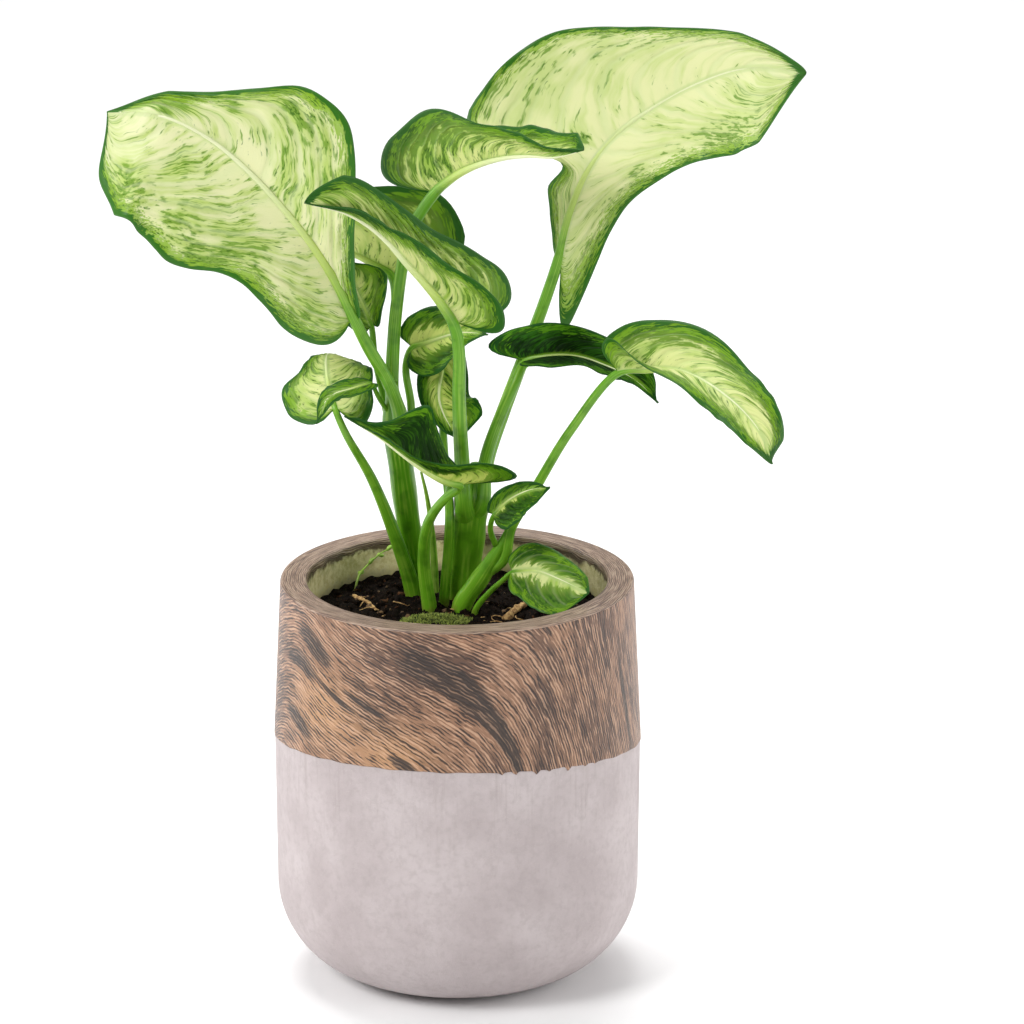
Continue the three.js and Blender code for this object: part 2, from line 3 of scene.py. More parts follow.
import bpy
import numpy as np
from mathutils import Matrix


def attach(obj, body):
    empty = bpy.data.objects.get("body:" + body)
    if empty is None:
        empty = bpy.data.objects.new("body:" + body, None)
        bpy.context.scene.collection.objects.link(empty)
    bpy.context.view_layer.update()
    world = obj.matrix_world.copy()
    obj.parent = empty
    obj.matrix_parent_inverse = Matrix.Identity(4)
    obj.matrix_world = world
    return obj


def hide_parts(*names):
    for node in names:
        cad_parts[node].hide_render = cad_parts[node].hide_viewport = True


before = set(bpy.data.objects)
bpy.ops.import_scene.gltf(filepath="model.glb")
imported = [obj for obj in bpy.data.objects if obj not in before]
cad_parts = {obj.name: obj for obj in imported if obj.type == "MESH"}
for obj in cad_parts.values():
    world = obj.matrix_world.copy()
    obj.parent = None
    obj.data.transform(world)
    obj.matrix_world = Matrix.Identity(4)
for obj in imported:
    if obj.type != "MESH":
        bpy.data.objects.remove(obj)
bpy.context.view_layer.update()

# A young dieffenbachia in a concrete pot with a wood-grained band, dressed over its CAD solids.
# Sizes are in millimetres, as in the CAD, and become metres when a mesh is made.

bpy.ops.object.select_all(action="DESELECT")
rng = np.random.default_rng(7)
MM = 0.001

# Pot, as in the CAD
FOOT_RADIUS = 34
BODY_RADIUS = 72.2
RIM_RADIUS = 69
BORE_RADIUS = 58.6
POT_HEIGHT = 160
SHOULDER_HEIGHT = 92
RIM_ROUND = 1.2
FLOOR_HEIGHT = 12
BORE_CORNER = 30
DIP_HEIGHT = 95.3
DIP_SLOPE_X = -0.018
DIP_SLOPE_Y = -0.125
SOIL_HEIGHT = 143.5
WALL_TAPER = (BODY_RADIUS - RIM_RADIUS) / (POT_HEIGHT - SHOULDER_HEIGHT)

# The cast body lies a little inside its CAD skin, so that the band covers it
POT_INSET = 0.15
RIM_INSET = 0.8
RIM_SINK = 0.7
SKIN_SINK = 0.7
RIM_EDGE = 0.8
BAND_STEP = 3

# Soil: the width over which its lumps fade to the wall, their height and how close they stand
SOIL_EDGE = 12
LUMP_HEIGHT = 0.9
LUMP_SCALE = 0.55

# Moss: its middle, how far it reaches each way, and its leaves
MOSS_PLACE = (-8, -6)
MOSS_REACH = (14, 7)
MOSS_LEAVES = 1500

# Dry roots: places along them, with heights over the soil
TAN_ROOT = [[19, -4, 0.6], [23, 3, 2.2], [26, 10, 1.8], [30, 20, 1.0]]
THIN_ROOT = [[-41, 24, 0.6], [-38, 18, 1.6], [-34, 12, 1.4], [-32, 7, 0.6]]

# Leaves, as in the CAD
TIP_HALF_WIDTH = 0.5
BASE_ROUND = 0.16
LOBE_ROUND = 0.06
TIP_ROUND = 0.14
WAY_REACH = 0.1

# Leaves, finer than in the CAD: the size of a face, half the blade's thickness, the midrib's share of
# the blade's length, its radius at the tip and the share of its radius that it stands out
CELL = 1.15
HALF_THICKNESS = 0.28
RIDGE_REACH = 0.96
RIDGE_LAST_RADIUS = 0.3
RIDGE_RISE = 0.62

# The distances in a leaf's "reach" map are shares of this one. Side veins crowd by CROWDING at the margin.
MAP_SPAN = 50
CROWDING = 0.28

# How a sheath leaves its cane: back from the stalk's foot, then shift to the side and radius as shares
# of the cane's radius
SHEATH = ((46, 0.0, 0.6), (30, 0.12, 0.8), (12, 0.2, 0.84))


# Numbers and curves

def clamp01(t):
    return np.clip(t, 0, 1)


def mix(a, b, t):
    return a + (b - a) * t


def ease(t, low, high):
    """0 below low, 1 above high, smooth between."""
    s = clamp01((t - low) / (high - low))
    return s * s * (3 - 2 * s)


def along(values, t):
    """The value at t, 0..1, on a smooth curve through values at even steps."""
    values = np.asarray(values, dtype=float)
    before = np.concatenate([[2 * values[0] - values[1]], values, [2 * values[-1] - values[-2]]])
    place = clamp01(t) * (len(values) - 1)
    k = np.minimum(len(values) - 2, np.floor(place)).astype(int)
    f = place - k
    p, q = before[k + 1], before[k + 2]
    m, n = (q - before[k]) / 2, (before[k + 3] - p) / 2
    return p + f * (m + f * (3 * (q - p) - 2 * m - n + f * (m + n - 2 * (q - p))))


def unit(rows):
    return rows / np.maximum(np.linalg.norm(rows, axis=-1, keepdims=True), 1e-12)


class Curve:
    """A smooth curve through points, with places given as shares of its length."""

    def __init__(self, points):
        points = np.asarray(points, dtype=float)
        first = 2 * points[0] - points[1]
        last = 2 * points[-1] - points[-2]
        self.points = np.vstack([first, points, last])
        self.spans = len(points) - 1
        self.knots = np.linspace(0, 1, 401)
        steps = np.linalg.norm(np.diff(self.raw(self.knots), axis=0), axis=1)
        self.run = np.concatenate([[0], np.cumsum(steps)])
        self.length = self.run[-1]

    def raw(self, t):
        place = np.asarray(t, dtype=float) * self.spans
        k = np.clip(np.floor(place), 0, self.spans - 1).astype(int)
        f = (place - k)[..., None]
        p0, p1, p2, p3 = (self.points[k + i] for i in range(4))
        gap = lambda a, b: np.sum((a - b) ** 2, axis=-1, keepdims=True) ** 0.25
        d0, d1, d2 = gap(p0, p1), gap(p1, p2), gap(p2, p3)
        m = ((p1 - p0) / d0 - (p2 - p0) / (d0 + d1) + (p2 - p1) / d1) * d1
        n = ((p2 - p1) / d1 - (p3 - p1) / (d1 + d2) + (p3 - p2) / d2) * d1
        return p1 + f * (m + f * (3 * (p2 - p1) - 2 * m - n + f * (m + n - 2 * (p2 - p1))))

    def at(self, share):
        return self.raw(np.interp(np.asarray(share) * self.length, self.run, self.knots))

    def way(self, share):
        t = np.interp(np.asarray(share) * self.length, self.run, self.knots)
        step = 1e-4
        return unit(self.raw(np.minimum(t + step, 1)) - self.raw(np.maximum(t - step, 0)))


# How most leaves are marked: the width of the green border, how much lime and how many green dashes
# the pale part has, how far the blade puffs up, the number of its side veins and how much paler it is
# near the stalk. A leaf adds cream, the share of each half that is pale, and green_depth_and_shade,
# how deep its greens are: partly the leaf's own deeper green and partly painted shade, darker, duller
# and less lit through for leaves that stand behind or under others.
LOOK = {"border": 1.2, "lime": 1.0, "dash": 0.9, "puff": 0.8, "veins": 8, "pale_foot": 0}

# Leaf shapes, repeated from the CAD. seat is what the stalk grows from, thick its radius at the foot
# and at the blade, wave the height, number and start of the margin's ripples. rib is the midrib from
# stalk to tip, face the way that the upper side looks at both ends, and rib_side is 1 where the midrib
# stands out on that side. widths of a half run from stalk to tip, fold is its angle in degrees, lobe
# how far it reaches back past the stalk, forward and slide how far its margin runs ahead of the midrib,
# and late how far up the leaf forward is largest.

OVATE = [0.8, 0.97, 1, 0.9, 0.7, 0.4, 0]


def ovate(width):
    return [share * width for share in OVATE]


LEAVES = [
    dict(
        name="big_left", seat="left", thick=[2.8, 2.3], wave=[1.8, 3.4, 0.1], rib_side=1,
        stalk=[[-22, 5, 220], [-23, 4, 228], [-27, 4, 239], [-34, 3, 252]],
        rib=[[-40, 0, 265], [-48, -4, 283], [-60, -9, 303], [-74, -13, 321], [-91, -16, 338],
             [-113, -16, 349], [-132.5, -9, 348.5]],
        face=[[0.15, -0.93, 0.35], [-0.3, -0.85, 0.5]],
        left=dict(widths=[25, 26.5, 28, 29, 30, 31, 35, 42, 46, 46, 45, 44, 42, 40.5, 39, 37, 34], lobe=9,
                  forward=12, late=3, slide=[0, 0, 0, 0, 0, 0, 0, 0, 0, 0, 0, 0, 0, 0, 1.5, 4.5, 0],
                  fold=[20, 5, -5, -10]),
        right=dict(widths=[10, 9, 9.5, 13, 18.5, 25, 31, 37, 41.5, 41.5, 37.5, 26.5, 18.5, 14, 11, 8.5, 6],
                   lobe=3, forward=-4, fold=[60, 35, 0, -40]),
        look=dict(LOOK, cream=1.15, green_depth_and_shade=0.2, border=2.4, lime=0.85, dash=0.7, puff=1.6),
    ),
    dict(
        name="big_right", seat="main", thick=[3.3, 2.2], wave=[1.5, 3.2, 0.5],
        stalk=[[9, 11, 190], [12, 14, 205], [18, 21, 221], [26, 28, 241], [34, 29, 263]],
        rib=[[40, 26, 281], [44, 22, 300], [50, 21, 316], [58, 19, 329], [70, 16, 340], [89, 8, 354],
             [112, -2, 364], [133, -10, 364]],
        face=[[0.32, -0.94, 0.1], [-0.1, -0.9, 0.4]],
        left=dict(widths=[8, 8, 10.5, 13.5, 12, 50, 51, 49, 46, 40, 33.5, 28, 22.5, 17.5, 13, 10.5, 8],
                  lobe=2, forward=-8, slide=[0, 0, 0, 0, 3.5, -13, -4, 0, 0, 0, 0, 0, 0, 0, 0, 0, 0],
                  fold=[-60, -60, -25, -5, 0, 5, 5, 5, 5]),
        right=dict(widths=[12, 14, 18.5, 23.5, 26, 29.5, 32, 28.5, 6], lobe=47, forward=6, late=3,
                   fold=[20, 25, 15, 5]),
        look=dict(LOOK, cream=1.15, green_depth_and_shade=0.25, border=1.5, lime=0.5, dash=0.35, puff=0.9, veins=9),
    ),
    dict(
        name="top_folded", seat="left", thick=[2.8, 2.2], wave=[1.0, 3, 0.2],
        stalk=[[-25, 12, 226], [-25, 13, 243], [-23, 14, 268], [-18, 12, 295]],
        rib=[[-9, 4, 314], [-2, -4, 322], [9, -18, 331], [24, -34, 338], [38, -48, 341], [48, -58, 346]],
        face=[[0, 0.45, 0.9], [0.2, 0.3, 0.9]],
        left=dict(widths=[15, 18, 19, 15, 13, 12, 6], lobe=8, forward=4, fold=[60, 60, 55]),
        right=dict(widths=[27, 26.5, 28, 20, 12, 6, 2], lobe=22, forward=4, fold=[42, 35, 20]),
        look=dict(LOOK, cream=0.62, green_depth_and_shade=0.52, border=2.0, dash=0.95, puff=1.0, veins=9),
    ),
    dict(
        name="centre_folded", seat="main", thick=[3.4, 2.3], wave=[1.0, 3, 0.6],
        stalk=[[3, 0, 190], [2, -3, 208], [1, -8, 233], [1, -14, 256]],
        rib=[[0, -18, 268], [-7, -25, 281], [-17, -35, 295], [-27, -45, 309], [-39, -54, 320],
             [-56, -63, 327]],
        face=[[0.45, 0.45, 0.75], [0.4, 0.1, 0.9]],
        left=dict(widths=[24, 19, 13, 9.5, 6, 3.5, 0], lobe=19, forward=3, fold=[35, 38, 30]),
        right=dict(widths=[43, 26, 18, 14, 13, 14, 12], lobe=26, forward=4, fold=[90, 95, 95]),
        look=dict(LOOK, cream=0.72, green_depth_and_shade=0.5, border=2.6, dash=0.8, puff=0.9, veins=9),
    ),
    dict(
        name="back_left", seat="left", thick=[2.2, 1.8], wave=[1.0, 3, 0.3],
        stalk=[[-24, 19, 210], [-25, 24, 228], [-25, 31, 247], [-24, 36, 262]],
        rib=[[-25, 38, 272], [-36, 44, 277], [-50, 52, 280], [-65, 60, 278], [-78, 68, 272]],
        face=[[0.1, 0.7, 0.7], [-0.1, 0.3, 0.9]],
        left=dict(widths=[42, 38, 31, 24, 18, 10, 0], lobe=33, forward=3, fold=[45, 25, 12]),
        right=dict(widths=[17, 18, 18, 17, 14, 8, 0], lobe=4, forward=3, fold=[24, 12, 10]),
        look=dict(LOOK, cream=0.66, green_depth_and_shade=0.55, border=2.4),
    ),
    dict(
        name="back_small", seat="left", thick=[1.6, 1.2], wave=[0.7, 2, 0.1],
        stalk=[[-26, 13, 217], [-29, 16, 230], [-32, 19, 244]],
        rib=[[-33, 20, 256], [-37, 22, 265], [-42, 26, 274], [-50, 33, 280]],
        face=[[0.2, -0.7, 0.6], [0.1, -0.3, 0.9]],
        left=dict(widths=ovate(10), lobe=3, fold=[10, 5]),
        right=dict(widths=[4, 5.5, 9.5, 12.5, 14, 11, 7, 4, 0], lobe=3, fold=[10, 5]),
        look=dict(LOOK, cream=0.6, green_depth_and_shade=0.5, dash=1.0, puff=0.9, veins=6),
    ),
    dict(
        name="back_centre", seat="left", thick=[1.8, 1.4], wave=[0.8, 2.5, 0.1],
        stalk=[[-18, 15, 210], [-18, 20, 224], [-20, 25, 238]],
        rib=[[-18, 25, 246], [-10, 24, 249], [1, 21, 253], [12, 15, 254]],
        face=[[0, -0.5, 0.8], [0.1, -0.3, 0.9]],
        left=dict(widths=[12, 14.5, 15, 12, 8, 5, 0], lobe=6, forward=2, fold=[15, 10]),
        right=dict(widths=ovate(14), lobe=6, forward=2, fold=[-30, -5]),
        look=dict(LOOK, cream=0.4, green_depth_and_shade=0.68, border=1.5, dash=1.0, veins=6),
    ),
    dict(
        name="back_hanging", seat="soil", thick=[2.3, 1.4], wave=[0.8, 2.5, 0.4],
        stalk=[[-6, 14, 132], [-5, 14, 150], [-3.5, 7, 170], [-3, 5, 186], [-5, 16, 205], [-6, 30, 225],
               [-6, 33, 238]],
        rib=[[-5, 28, 245], [-6, 25, 237], [-7, 18, 226], [0, 12, 212]],
        face=[[0, -0.6, 0.8], [0, -0.95, 0.1]],
        left=dict(widths=[9, 10, 12, 14, 15, 14, 8], lobe=4, forward=2, fold=[-25, -10]),
        right=dict(widths=[7, 8.5, 9, 7.5, 5, 3, 0], lobe=5, forward=2, fold=[-10, 0]),
        look=dict(LOOK, cream=0.5, green_depth_and_shade=0.75, border=1.6, puff=0.6, veins=7),
    ),
    dict(
        name="low_left", seat="soil", thick=[4.0, 1.3], wave=[0.9, 2.5, 0.2],
        stalk=[[-17, 28, 132], [-18, 27, 146], [-23, 20, 166], [-33, 8, 197], [-43, -2, 219]],
        rib=[[-47, -2, 229], [-50, 8, 237], [-51, 23, 243], [-48, 40, 239]],
        face=[[-0.1, -0.6, 0.8], [0, -0.1, 1]],
        left=dict(widths=[15, 18.5, 18, 11, 6, 3.5, 0], lobe=7, forward=2, fold=[-10, -20]),
        right=dict(widths=[14, 16, 18, 17.5, 15, 11, 4], lobe=15, forward=2, fold=[-10, -15]),
        look=dict(LOOK, cream=0.8, green_depth_and_shade=0.45, border=1.6, lime=0.8, veins=7),
    ),
    dict(
        name="small_left", seat="left", thick=[1.1, 0.9],
        stalk=[[-25, 11, 221], [-30, 5, 231]],
        rib=[[-33, 0, 239], [-40, -8, 239], [-49, -14, 237], [-54, -16, 227]],
        face=[[0, -0.3, 0.9], [-0.3, -0.5, 0.8]],
        left=dict(widths=ovate(6), lobe=2, fold=[5, 5]),
        right=dict(widths=ovate(6), lobe=2, fold=[5, 5]),
        look=dict(LOOK, cream=-0.4, green_depth_and_shade=0.6, border=1.0, lime=0.5, puff=0.4, veins=6),
    ),
    dict(
        name="low_front", seat="soil", thick=[3.6, 1.7], wave=[0.6, 2.5, 0.2],
        stalk=[[-10, 9, 132], [-11, 9, 145], [-13, 6, 164], [-11, -3, 183], [-4, -12, 196]],
        rib=[[2, -17, 203], [-6, -22, 207], [-17, -25, 215], [-29, -24, 224], [-43, -19, 231]],
        face=[[0.3, -0.2, 0.95], [0.3, 0, 0.95]],
        left=dict(widths=[18, 14, 8, 5.5, 4, 3, 0], lobe=29, fold=[72, 40, 10]),
        right=dict(widths=[6, 8, 12, 17, 21.5, 8.5, 3, 2, 0], lobe=2, forward=5, fold=[60, 55, 40]),
        look=dict(LOOK, cream=-0.25, green_depth_and_shade=0.8, puff=0.6, pale_foot=1.1),
    ),
    dict(
        name="right_shaded", seat="main", thick=[3.1, 1.9], wave=[0.8, 2.5, 0.2],
        stalk=[[10, 2.5, 190], [11, 3, 206], [16, 4, 222], [23, 6, 238]],
        rib=[[26, 9, 245], [35, 9, 247], [46, 9, 247], [57, 7, 244], [69, 3, 239], [78, -1, 231]],
        face=[[0, -0.1, 1], [0.2, -0.2, 0.9]],
        left=dict(widths=[19, 17, 14.5, 14, 12, 7, 0], lobe=20, forward=3, fold=[30, 25, 15]),
        right=dict(widths=[16, 19, 17.5, 12, 7, 4, 0], lobe=4, forward=3, fold=[12, 10, 10]),
        look=dict(LOOK, cream=-0.2, green_depth_and_shade=0.95, puff=0.6),
    ),
    dict(
        name="small_right", seat="right", thick=[1.3, 1.0],
        stalk=[[15, 3.5, 172], [13, -2, 180]],
        rib=[[14, -9, 188], [20, -12, 195], [28, -15, 200], [36, -18, 202]],
        face=[[-0.2, -0.7, 0.7], [-0.2, -0.6, 0.8]],
        left=dict(widths=ovate(6), lobe=3, fold=[10, 5]),
        right=dict(widths=[8, 11, 13, 13, 11, 8, 3], lobe=1, fold=[10, 5]),
        look=dict(LOOK, cream=0.12, green_depth_and_shade=0.7, border=1.4, puff=0.5, veins=6),
    ),
    dict(
        name="right_arching", seat="right", thick=[2.3, 1.6], wave=[0.8, 2.5, 0.2],
        stalk=[[18, 4, 166], [21, 3, 179], [30, 1, 195], [44, -5, 221]],
        rib=[[62, -12, 247], [72, -16, 249], [86, -22, 250], [99, -32, 246], [110, -42, 239],
             [117, -50, 231], [120, -56, 223]],
        face=[[0.1, -0.5, 0.85], [0.7, -0.55, 0.3]],
        left=dict(widths=[23, 22, 21, 18, 15.5, 11, 0], lobe=14, forward=4, fold=[18, 8, 5]),
        right=dict(widths=[20, 17, 15, 13, 12, 11.5, 6], lobe=8, forward=4, fold=[100, 40, 5, -5, -5]),
        look=dict(LOOK, cream=0.55, green_depth_and_shade=0.45, border=2.0, lime=0.8, dash=0.8, veins=9),
    ),
    dict(
        name="seedling", seat="soil", thick=[1.5, 1.0],
        stalk=[[6, 4, 133], [7, 3, 145], [12, 0, 153], [18, -4, 160]],
        rib=[[21, -6, 164], [31, -14, 167], [40, -22, 166], [51, -30, 163]],
        face=[[0.1, -0.7, 0.7], [0.2, -0.8, 0.6]],
        left=dict(widths=[11, 12, 11, 9.5, 8, 6, 3], lobe=6, forward=2, fold=[8, 5]),
        right=dict(widths=[8, 12, 15, 17, 17, 14, 8], lobe=0, forward=4, fold=[8, 5]),
        look=dict(LOOK, cream=0.24, green_depth_and_shade=0.45, border=0.3, dash=0.3, puff=0.4, veins=5),
    ),
]

CANES = {
    "left": {
        "path": [[-16, 38, 132], [-16.5, 36, 146], [-19, 28, 170],
                 [-22, 18, 200], [-24, 11, 222], [-25, 9, 236]],
        "radii": [4.6, 5.2],
        "taper": 0.85,
    },
    "main": {
        "path": [[1, 25, 132], [2, 23, 146], [4, 15, 170], [6, 8, 190], [8, 5, 204]],
        "radii": [6.2, 7.0],
        "taper": 0.85,
    },
    "right": {
        "path": [[0, 9, 132], [2, 8, 146], [8, 6, 156], [15, 4, 168], [20, 3, 178]],
        "radii": [4.0, 3.4],
        "taper": 0.55,
    },
}

SPRIG_PATH = [[-41, 34, SOIL_HEIGHT - 1], [-39, 37, 149], [-35, 39.5, 153], [-30, 41, 157], [-25, 42, 159]]
SPEAR_PATH = [[-9, 31, 132], [-9, 30, 148], [-10, 20, 172], [-12, 12, 190], [-14, 9, 200]]


# Shader maths

class Value:
    """A shader socket that takes part in sums as a number does."""

    def __init__(self, paint, socket):
        self.paint = paint
        self.socket = socket

    def __add__(self, other):
        return self.paint.maths("ADD", self, other)

    def __sub__(self, other):
        return self.paint.maths("SUBTRACT", self, other)

    def __rsub__(self, other):
        return self.paint.maths("SUBTRACT", other, self)

    def __mul__(self, other):
        return self.paint.maths("MULTIPLY", self, other)

    def __abs__(self):
        return self.paint.maths("ABSOLUTE", self)

    __radd__ = __add__
    __rmul__ = __mul__


def linear(red, green, blue):
    """A colour given as it looks on screen, 0..255, as linear light."""
    def light(c):
        c = c / 255
        return c / 12.92 if c <= 0.04045 else ((c + 0.055) / 1.055) ** 2.4
    return (light(red), light(green), light(blue))


class Paint:
    """One material and the nodes that make it."""

    def __init__(self, name):
        self.material = bpy.data.materials.new(name)
        self.material.use_nodes = True
        self.tree = self.material.node_tree
        self.tree.nodes.clear()

    def put(self, socket, value):
        if isinstance(value, Value):
            self.tree.links.new(value.socket, socket)
        elif socket.type == "RGBA" and len(value) == 3:
            socket.default_value = (*value, 1)
        else:
            socket.default_value = value

    def node(self, kind, settings=None, inputs=None):
        node = self.tree.nodes.new(kind)
        for key, value in (settings or {}).items():
            setattr(node, key, value)
        for key, value in (inputs or {}).items():
            self.put(node.inputs[key], value)
        return node

    def maths(self, operation, *values):
        node = self.node("ShaderNodeMath", {"operation": operation})
        for socket, value in zip(node.inputs, values):
            self.put(socket, value)
        return Value(self, node.outputs[0])

    def step(self, value, low, high):
        """0 below low, 1 above high, smooth between; low may be the larger."""
        settings = {"interpolation_type": "SMOOTHSTEP"}
        inputs = {0: value, 1: min(low, high), 2: max(low, high)}
        if low > high:
            inputs.update({3: 1.0, 4: 0.0})
        return Value(self, self.node("ShaderNodeMapRange", settings, inputs).outputs[0])

    def blend(self, share, a, b):
        """Colour a with a share of colour b over it. A plain colour is given 0..255."""
        a, b = (colour if isinstance(colour, Value) else linear(*colour) for colour in (a, b))
        node = self.node("ShaderNodeMix", {"data_type": "RGBA"}, {0: share, 6: a, 7: b})
        return Value(self, node.outputs[2])

    def layers(self, colour, *coats):
        """A colour with coats of (share, colour) laid over it one after the other."""
        for share, coat in coats:
            colour = self.blend(share, colour, coat)
        return colour

    def tint(self, colour, by):
        settings = {"data_type": "RGBA", "blend_type": "MULTIPLY"}
        return Value(self, self.node("ShaderNodeMix", settings, {0: 1.0, 6: colour, 7: by}).outputs[2])

    def vector(self, x, y, z):
        return Value(self, self.node("ShaderNodeCombineXYZ", {}, {0: x, 1: y, 2: z}).outputs[0])

    def parts(self, vector):
        node = self.node("ShaderNodeSeparateXYZ", {}, {0: vector})
        return [Value(self, socket) for socket in node.outputs]

    def place(self):
        """The point's own place in the object, in millimetres."""
        return self.scaled(Value(self, self.node("ShaderNodeTexCoord").outputs["Object"]), 1 / MM)

    def map(self, name):
        spot = Value(self, self.node("ShaderNodeUVMap", {"uv_map": name}).outputs[0])
        return self.parts(spot)[:2]

    def scaled(self, vector, by):
        node = self.node("ShaderNodeVectorMath", {"operation": "SCALE"}, {0: vector, 3: by})
        return Value(self, node.outputs[0])

    def noise(self, vector, scale, detail=2.0, roughness=0.5, across=None):
        """Noise in space. across is a fourth direction, for lines that follow a value."""
        inputs = {"Vector": vector, "Scale": scale, "Detail": detail, "Roughness": roughness}
        settings = {}
        if across is not None:
            settings["noise_dimensions"] = "4D"
            inputs["W"] = across
        return Value(self, self.node("ShaderNodeTexNoise", settings, inputs).outputs[0])

    def cells(self, vector, scale):
        node = self.node("ShaderNodeTexVoronoi", {}, {"Vector": vector, "Scale": scale})
        return Value(self, node.outputs[0])

    def bump(self, height, depth, below=None):
        inputs = {"Strength": 1.0, "Distance": depth * MM, "Height": height}
        if below is not None:
            inputs["Normal"] = below
        return Value(self, self.node("ShaderNodeBump", {}, inputs).outputs[0])

    def finish(self, colour, roughness, normal=None, glow=None, share=0.0, coat=0.0, shine=0.5):
        """The surface. glow is the colour of the light that shines through it."""
        inputs = {"Base Color": colour, "Roughness": roughness, "Specular IOR Level": shine}
        inputs.update({"Coat Weight": coat, "Coat Roughness": 0.2})
        if normal is not None:
            inputs["Normal"] = normal
        skin = Value(self, self.node("ShaderNodeBsdfPrincipled", {}, inputs).outputs[0])
        if glow is not None:
            through = Value(self, self.node("ShaderNodeBsdfTranslucent", {}, {"Color": glow}).outputs[0])
            both = {0: share, 1: skin, 2: through}
            skin = Value(self, self.node("ShaderNodeMixShader", {}, both).outputs[0])
        self.node("ShaderNodeOutputMaterial", {}, {"Surface": skin})
        return self.material


# Meshes

def add_piece(name, points, faces, materials, face_slots=None, maps=None):
    """A smooth mesh from points in millimetres. maps gives a pair of numbers to each point."""
    mesh = bpy.data.meshes.new(name)
    mesh.from_pydata((np.asarray(points) * MM).tolist(), [], faces)
    for material in materials:
        mesh.materials.append(material)
    if face_slots is not None:
        mesh.polygons.foreach_set("material_index", np.asarray(face_slots, dtype=np.int32))
    mesh.polygons.foreach_set("use_smooth", np.ones(len(mesh.polygons), dtype=bool))
    corners = np.empty(len(mesh.loops), dtype=np.int32)
    mesh.loops.foreach_get("vertex_index", corners)
    for key, pairs in (maps or {}).items():
        layer = mesh.uv_layers.new(name=key)
        layer.data.foreach_set("uv", np.asarray(pairs, dtype=np.float32)[corners].ravel())
    mesh.update()
    piece = bpy.data.objects.new(name, mesh)
    bpy.context.collection.objects.link(piece)
    return piece


def dress(piece, nodes):
    """The piece moves with the pot and stands for CAD nodes, which it hides."""
    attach(piece, "root")
    if nodes:
        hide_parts(*nodes)
    return piece


def tube(path, radius_at, step=1.6, sides=20, side_hint=(0, -1, 0)):
    """Rings along a path. radius_at takes the share of the length and the angles round it."""
    curve = Curve(path)
    count = max(4, round(curve.length / step))
    shares = np.linspace(0, 1, count + 1)
    angles = np.linspace(0, 2 * np.pi, sides, endpoint=False)
    side = np.asarray(side_hint, dtype=float)
    rings = []
    for share, centre, way in zip(shares, curve.at(shares), curve.way(shares)):
        side = unit(side - way * side.dot(way))
        ring = np.cos(angles)[:, None] * side + np.sin(angles)[:, None] * np.cross(way, side)
        rings.append(centre + np.reshape(radius_at(share, angles) * np.ones(sides), (sides, 1)) * ring)
    faces = []
    for low in range(0, count * sides, sides):
        for i in range(sides):
            j = (i + 1) % sides
            faces.append((low + i, low + j, low + sides + j, low + sides + i))
    faces.append(tuple(range(sides - 1, -1, -1)))
    faces.append(tuple(range(count * sides, (count + 1) * sides)))
    turn = np.minimum(angles, 2 * np.pi - angles) / np.pi
    maps = np.stack([np.tile(turn, count + 1), np.repeat(shares * curve.length, sides)], axis=1)
    return np.vstack(rings), faces, maps


def thinning(radius, loss):
    """A round tube that loses a share of its radius on its way."""
    return lambda share, angles: radius * (1 - loss * share)


def joined(parts):
    """Several (points, faces, maps) as one."""
    points, faces, maps, start = [], [], [], 0
    for some, their, pairs in parts:
        points.append(some)
        maps.append(pairs)
        faces.extend(tuple(start + i for i in face) for face in their)
        start += len(some)
    return np.vstack(points), faces, np.vstack(maps)


# Leaf blade

def vein_sweep(reach):
    """How far along the blade a side vein has run when it is at this share of the half width."""
    return reach * (reach * reach * 0.5 + 0.14)


